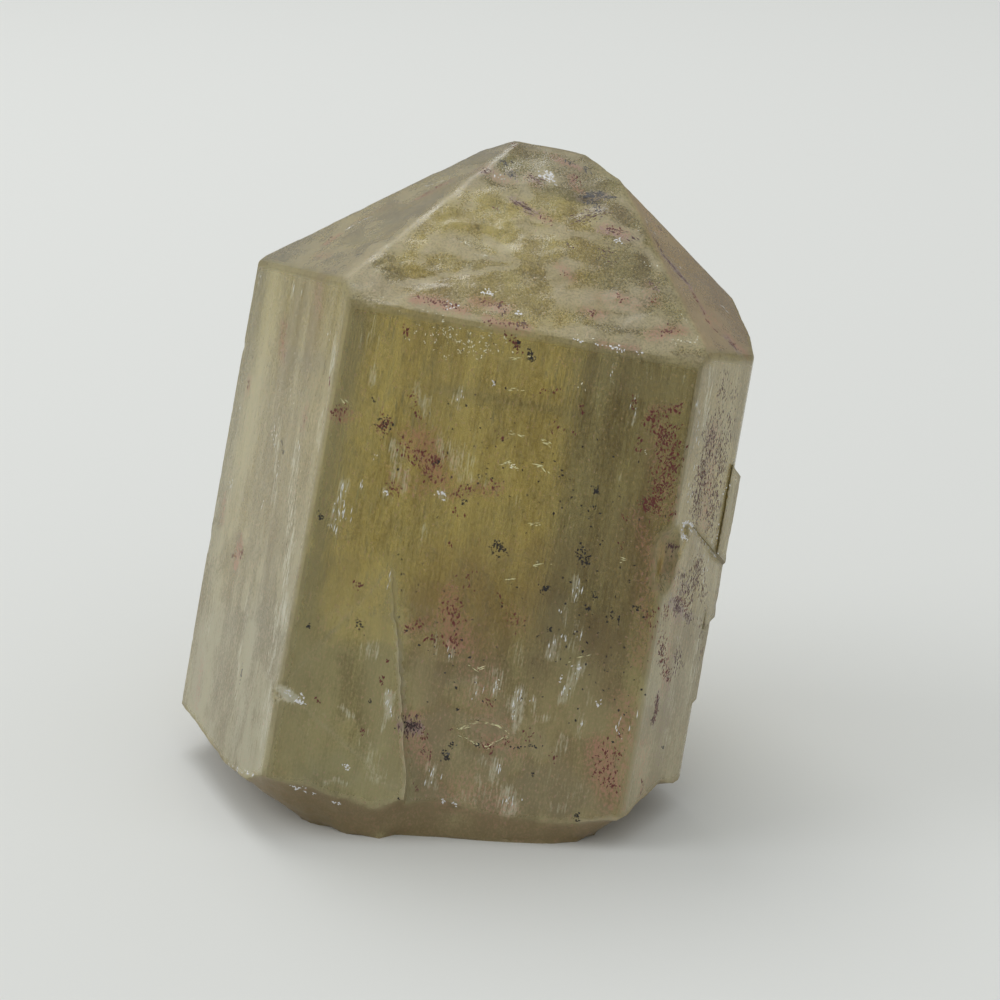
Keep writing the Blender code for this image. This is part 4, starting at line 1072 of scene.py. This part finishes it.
# How flecks look: half their width and half their length in millimetres, how many lie in a
# square millimetre of a stroke at strength 1, their greatest turn off the stroke's own
# direction or the crystal's axis, colour and roughness
Fleck = namedtuple("Fleck", "width length crowd turn colour roughness")
FLECKS = {
    "rust": Fleck((0.02, 0.065), (0.03, 0.15), 40.0, 0.9, (0.13, 0.022, 0.016), 0.5),
    "dark": Fleck((0.025, 0.075), (0.03, 0.10), 75.0, 1.6, (0.012, 0.008, 0.006), 0.35),
    "purple": Fleck((0.018, 0.05), (0.05, 0.19), 50.0, 0.25, (0.10, 0.045, 0.045), 0.5),
    "slate": Fleck((0.02, 0.05), (0.05, 0.20), 40.0, 0.9, (0.085, 0.082, 0.085), 0.5),
    # The next four kinds are bright flecks that are partly or wholly painted highlights: sparkles of
    # light off chips, tubes and cracks.
    "white_chip_and_glint": Fleck((0.03, 0.08), (0.03, 0.12), 45.0, 1.6, (0.88, 0.86, 0.88), 0.4),
    "silver_tube_and_sheen": Fleck((0.012, 0.035), (0.05, 0.24), 16.0, 0.10, (0.90, 0.92, 0.86), 0.3),
    "glint": Fleck((0.012, 0.040), (0.02, 0.09), 22.0, 1.6, (0.97, 0.94, 0.66), 0.3),
    "golden_glint": Fleck((0.012, 0.028), (0.06, 0.24), 34.0, 0.15, (0.92, 0.84, 0.46), 0.35),
}
FLECK_THICKNESS = 0.010
FLECK_START = 25.0


def stroke_flecks(shape, rng, kind, strokes):
    """Thin flecks, flush with the surface, scattered over the strokes."""
    look = FLECKS[kind]
    vertices, triangles = [], []
    corners, faces = np.array(OCTAHEDRON[0], float), np.array(OCTAHEDRON[1])
    for face, face_strokes in strokes.items():
        normal, across, up = face_frame(face)
        follows = kind == "golden_glint" or face.endswith("slope") and kind in ("purple", "slate", "silver_tube_and_sheen")
        for u0, v0, u1, v1, half_width, strength in face_strokes:
            length = math.hypot(u1 - u0, v1 - v0)
            area = half_width * (2.0 * length + math.pi * half_width)
            base_turn = math.atan2(u1 - u0, v1 - v0) if follows and length > 0.2 else 0.0
            for _ in range(max(1, round(look.crowd * strength * area))):
                share = rng.uniform(0.0, 1.0)
                u, v = rng.normal(0.0, 0.55 * half_width, 2)
                u += u0 + share * (u1 - u0)
                v += v0 + share * (v1 - v0)
                size = rng.uniform(0.0, 1.0) ** 1.5
                half = look.width[0] + size * (look.width[1] - look.width[0])
                size = rng.uniform(0.0, 1.0) ** 1.5
                reach = look.length[0] + size * (look.length[1] - look.length[0])
                turn = base_turn + rng.uniform(-look.turn, look.turn)
                start = Vector(across * u + up * v + normal * FLECK_START)
                place, slope, _, _ = shape.ray_cast(start, -Vector(normal))
                if place is None or slope.dot(Vector(normal)) < 0.75:
                    continue
                long_way = Vector(across * math.sin(turn) + up * math.cos(turn))
                long_way = (long_way - slope * long_way.dot(slope)).normalized()
                wide_way = long_way.cross(slope)
                rows = np.array((wide_way * half, long_way * reach, slope * FLECK_THICKNESS))
                triangles.append(faces + len(vertices) * len(corners))
                vertices.append(corners @ rows + np.array(place))
    return np.vstack(vertices), np.vstack(triangles)


def make_inclusions(shape):
    rng = np.random.default_rng(5)
    groups = []

    def grains(material, points, sizes, lean, margin=0.06):
        tilts = rng.normal(0.0, lean, (len(points), 2))
        turns = rng.uniform(0.0, math.pi, len(points))
        kept = well_inside(shape, points, sizes, margin)
        groups.append((material, scatter(points[kept], sizes[kept], tilts[kept], turns[kept])))

    # Silk: fine needles along the crystal, all through it
    low, high = (-14.0, -11.5, -19.0), (15.0, 12.0, 18.0)
    points = rng.uniform(low, high, (SILK_COUNT, 3))
    density = field(points, (2.2, 2.2, 7.0), 61) + 0.5 * field(points, (0.8, 0.8, 5.0), 62)
    points = points[density > -0.05 + rng.uniform(-0.5, 0.5, len(points))]
    count = len(points)
    length = rng.uniform(0.12, 0.7, count)
    width = rng.uniform(0.018, 0.05, count)
    grains("silk", points, np.column_stack([width, width, length]), 0.02, 0.15)

    # Single rusty grains, all through the outer part
    points = rng.uniform((-13.0, -10.7, -16.0), (14.0, 11.0, 16.0), (1600, 3))
    sizes = rng.uniform(0.02, 0.06, (len(points), 3)) * (1.0, 1.0, 1.6)
    grains("rust", points, sizes, 0.3)

    kinds = {
        "rust": RED, "dark": DARK, "purple": PURPLE, "slate": BLUE,
        "white_chip_and_glint": WHITE_CHIPS_AND_GLINTS, "silver_tube_and_sheen": SILVER_TUBES_AND_SHEEN, "glint": GLINT, "golden_glint": GOLDEN_GLINTS,
    }
    for kind, strokes in kinds.items():
        groups.append((kind, stroke_flecks(shape, rng, kind, strokes)))

    looks = {kind: (look.colour, look.roughness) for kind, look in FLECKS.items()}
    looks["silk"] = ((0.74, 0.69, 0.42), 0.4)
    return [joined("silk", groups[:1], looks), joined("inclusions", groups[1:], looks)]


def joined(name, groups, looks):
    """One piece out of several groups of grains, each with its own material."""
    to_row = np.array(resting_matrix())
    vertices, triangles, slots, start = [], [], [], 0
    mesh = bpy.data.meshes.new(name)
    for number, (material, (points, faces)) in enumerate(groups):
        mesh.materials.append(plain_material(material, *looks[material]))
        vertices.append(points * MM @ to_row[:3, :3].T + to_row[:3, 3])
        triangles.append(faces + start)
        slots.extend([number] * len(faces))
        start += len(points)
    mesh.from_pydata(np.vstack(vertices).tolist(), [], np.vstack(triangles).tolist())
    mesh.polygons.foreach_set("material_index", slots)
    mesh.update()
    print(name, len(mesh.polygons))
    piece = bpy.data.objects.new(name, mesh)
    bpy.context.scene.collection.objects.link(piece)
    return piece


def make_floor():
    bm = bmesh.new()
    half = 1.5
    corners = [bm.verts.new((x * half, y * half, 0.0)) for x, y in ((-1, -1), (1, -1), (1, 1), (-1, 1))]
    bm.faces.new(corners)
    mesh = bpy.data.meshes.new("floor")
    bm.to_mesh(mesh)
    bm.free()
    floor = bpy.data.objects.new("floor", mesh)
    bpy.context.scene.collection.objects.link(floor)
    mat = bpy.data.materials.new("paper")
    mat.use_nodes = True
    shader = mat.node_tree.nodes["Principled BSDF"]
    shader.inputs["Base Color"].default_value = (0.765, 0.772, 0.753, 1.0)
    shader.inputs["Roughness"].default_value = 0.8
    mesh.materials.append(mat)


def area_light(name, place, target, size, power, colour=(1, 1, 1)):
    data = bpy.data.lights.new(name, "AREA")
    data.shape = "DISK"
    data.size = size
    data.energy = power
    data.color = colour
    lamp = bpy.data.objects.new(name, data)
    lamp.location = place
    lamp.rotation_euler = (Vector(target) - Vector(place)).to_track_quat("-Z", "Y").to_euler()
    bpy.context.scene.collection.objects.link(lamp)


# Strength of the sky at the horizon and high up
SKY_LOW = 0.30
SKY_HIGH = 0.755


def make_lights():
    world = bpy.data.worlds.new("studio")
    world.use_nodes = True
    nodes, links = world.node_tree.nodes, world.node_tree.links
    back = nodes["Background"]
    back.inputs["Color"].default_value = (0.98, 1.0, 0.99, 1.0)
    height = nodes.new("ShaderNodeSeparateXYZ")
    links.new(nodes.new("ShaderNodeTexCoord").outputs["Generated"], height.inputs[0])
    sky = nodes.new("ShaderNodeMapRange")
    links.new(height.outputs["Z"], sky.inputs["Value"])
    sky.inputs["From Max"].default_value = 0.9
    sky.inputs["To Min"].default_value = SKY_LOW
    sky.inputs["To Max"].default_value = SKY_HIGH
    links.new(sky.outputs[0], back.inputs["Strength"])
    bpy.context.scene.world = world
    area_light("overhead", (-0.10, 0.31, 0.57), (0, 0.02, 0), 0.34, 0.97)
    area_light("side", (-0.45, 0.00, 0.32), (0, 0, 0.01), 0.40, 0.60)


def make_camera():
    data = bpy.data.cameras.new("camera")
    data.sensor_width = 36.0
    data.lens = 90.67
    data.clip_start = 0.005
    data.clip_end = 10.0
    camera = bpy.data.objects.new("camera", data)
    camera.location = Vector((1.20, -125.86, 55.48)) * MM
    camera.rotation_euler = (math.radians(72.0), 0.0, 0.0)
    bpy.context.scene.collection.objects.link(camera)
    bpy.context.scene.camera = camera


make_camera()
make_lights()
make_floor()
crystal, shape = make_crystal()
crystal.data.materials.append(crystal_material())
for piece in [crystal] + make_inclusions(shape):
    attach(piece, "root")
    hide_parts("apatite_crystal")

bpy.context.scene.view_settings.view_transform = "Standard"
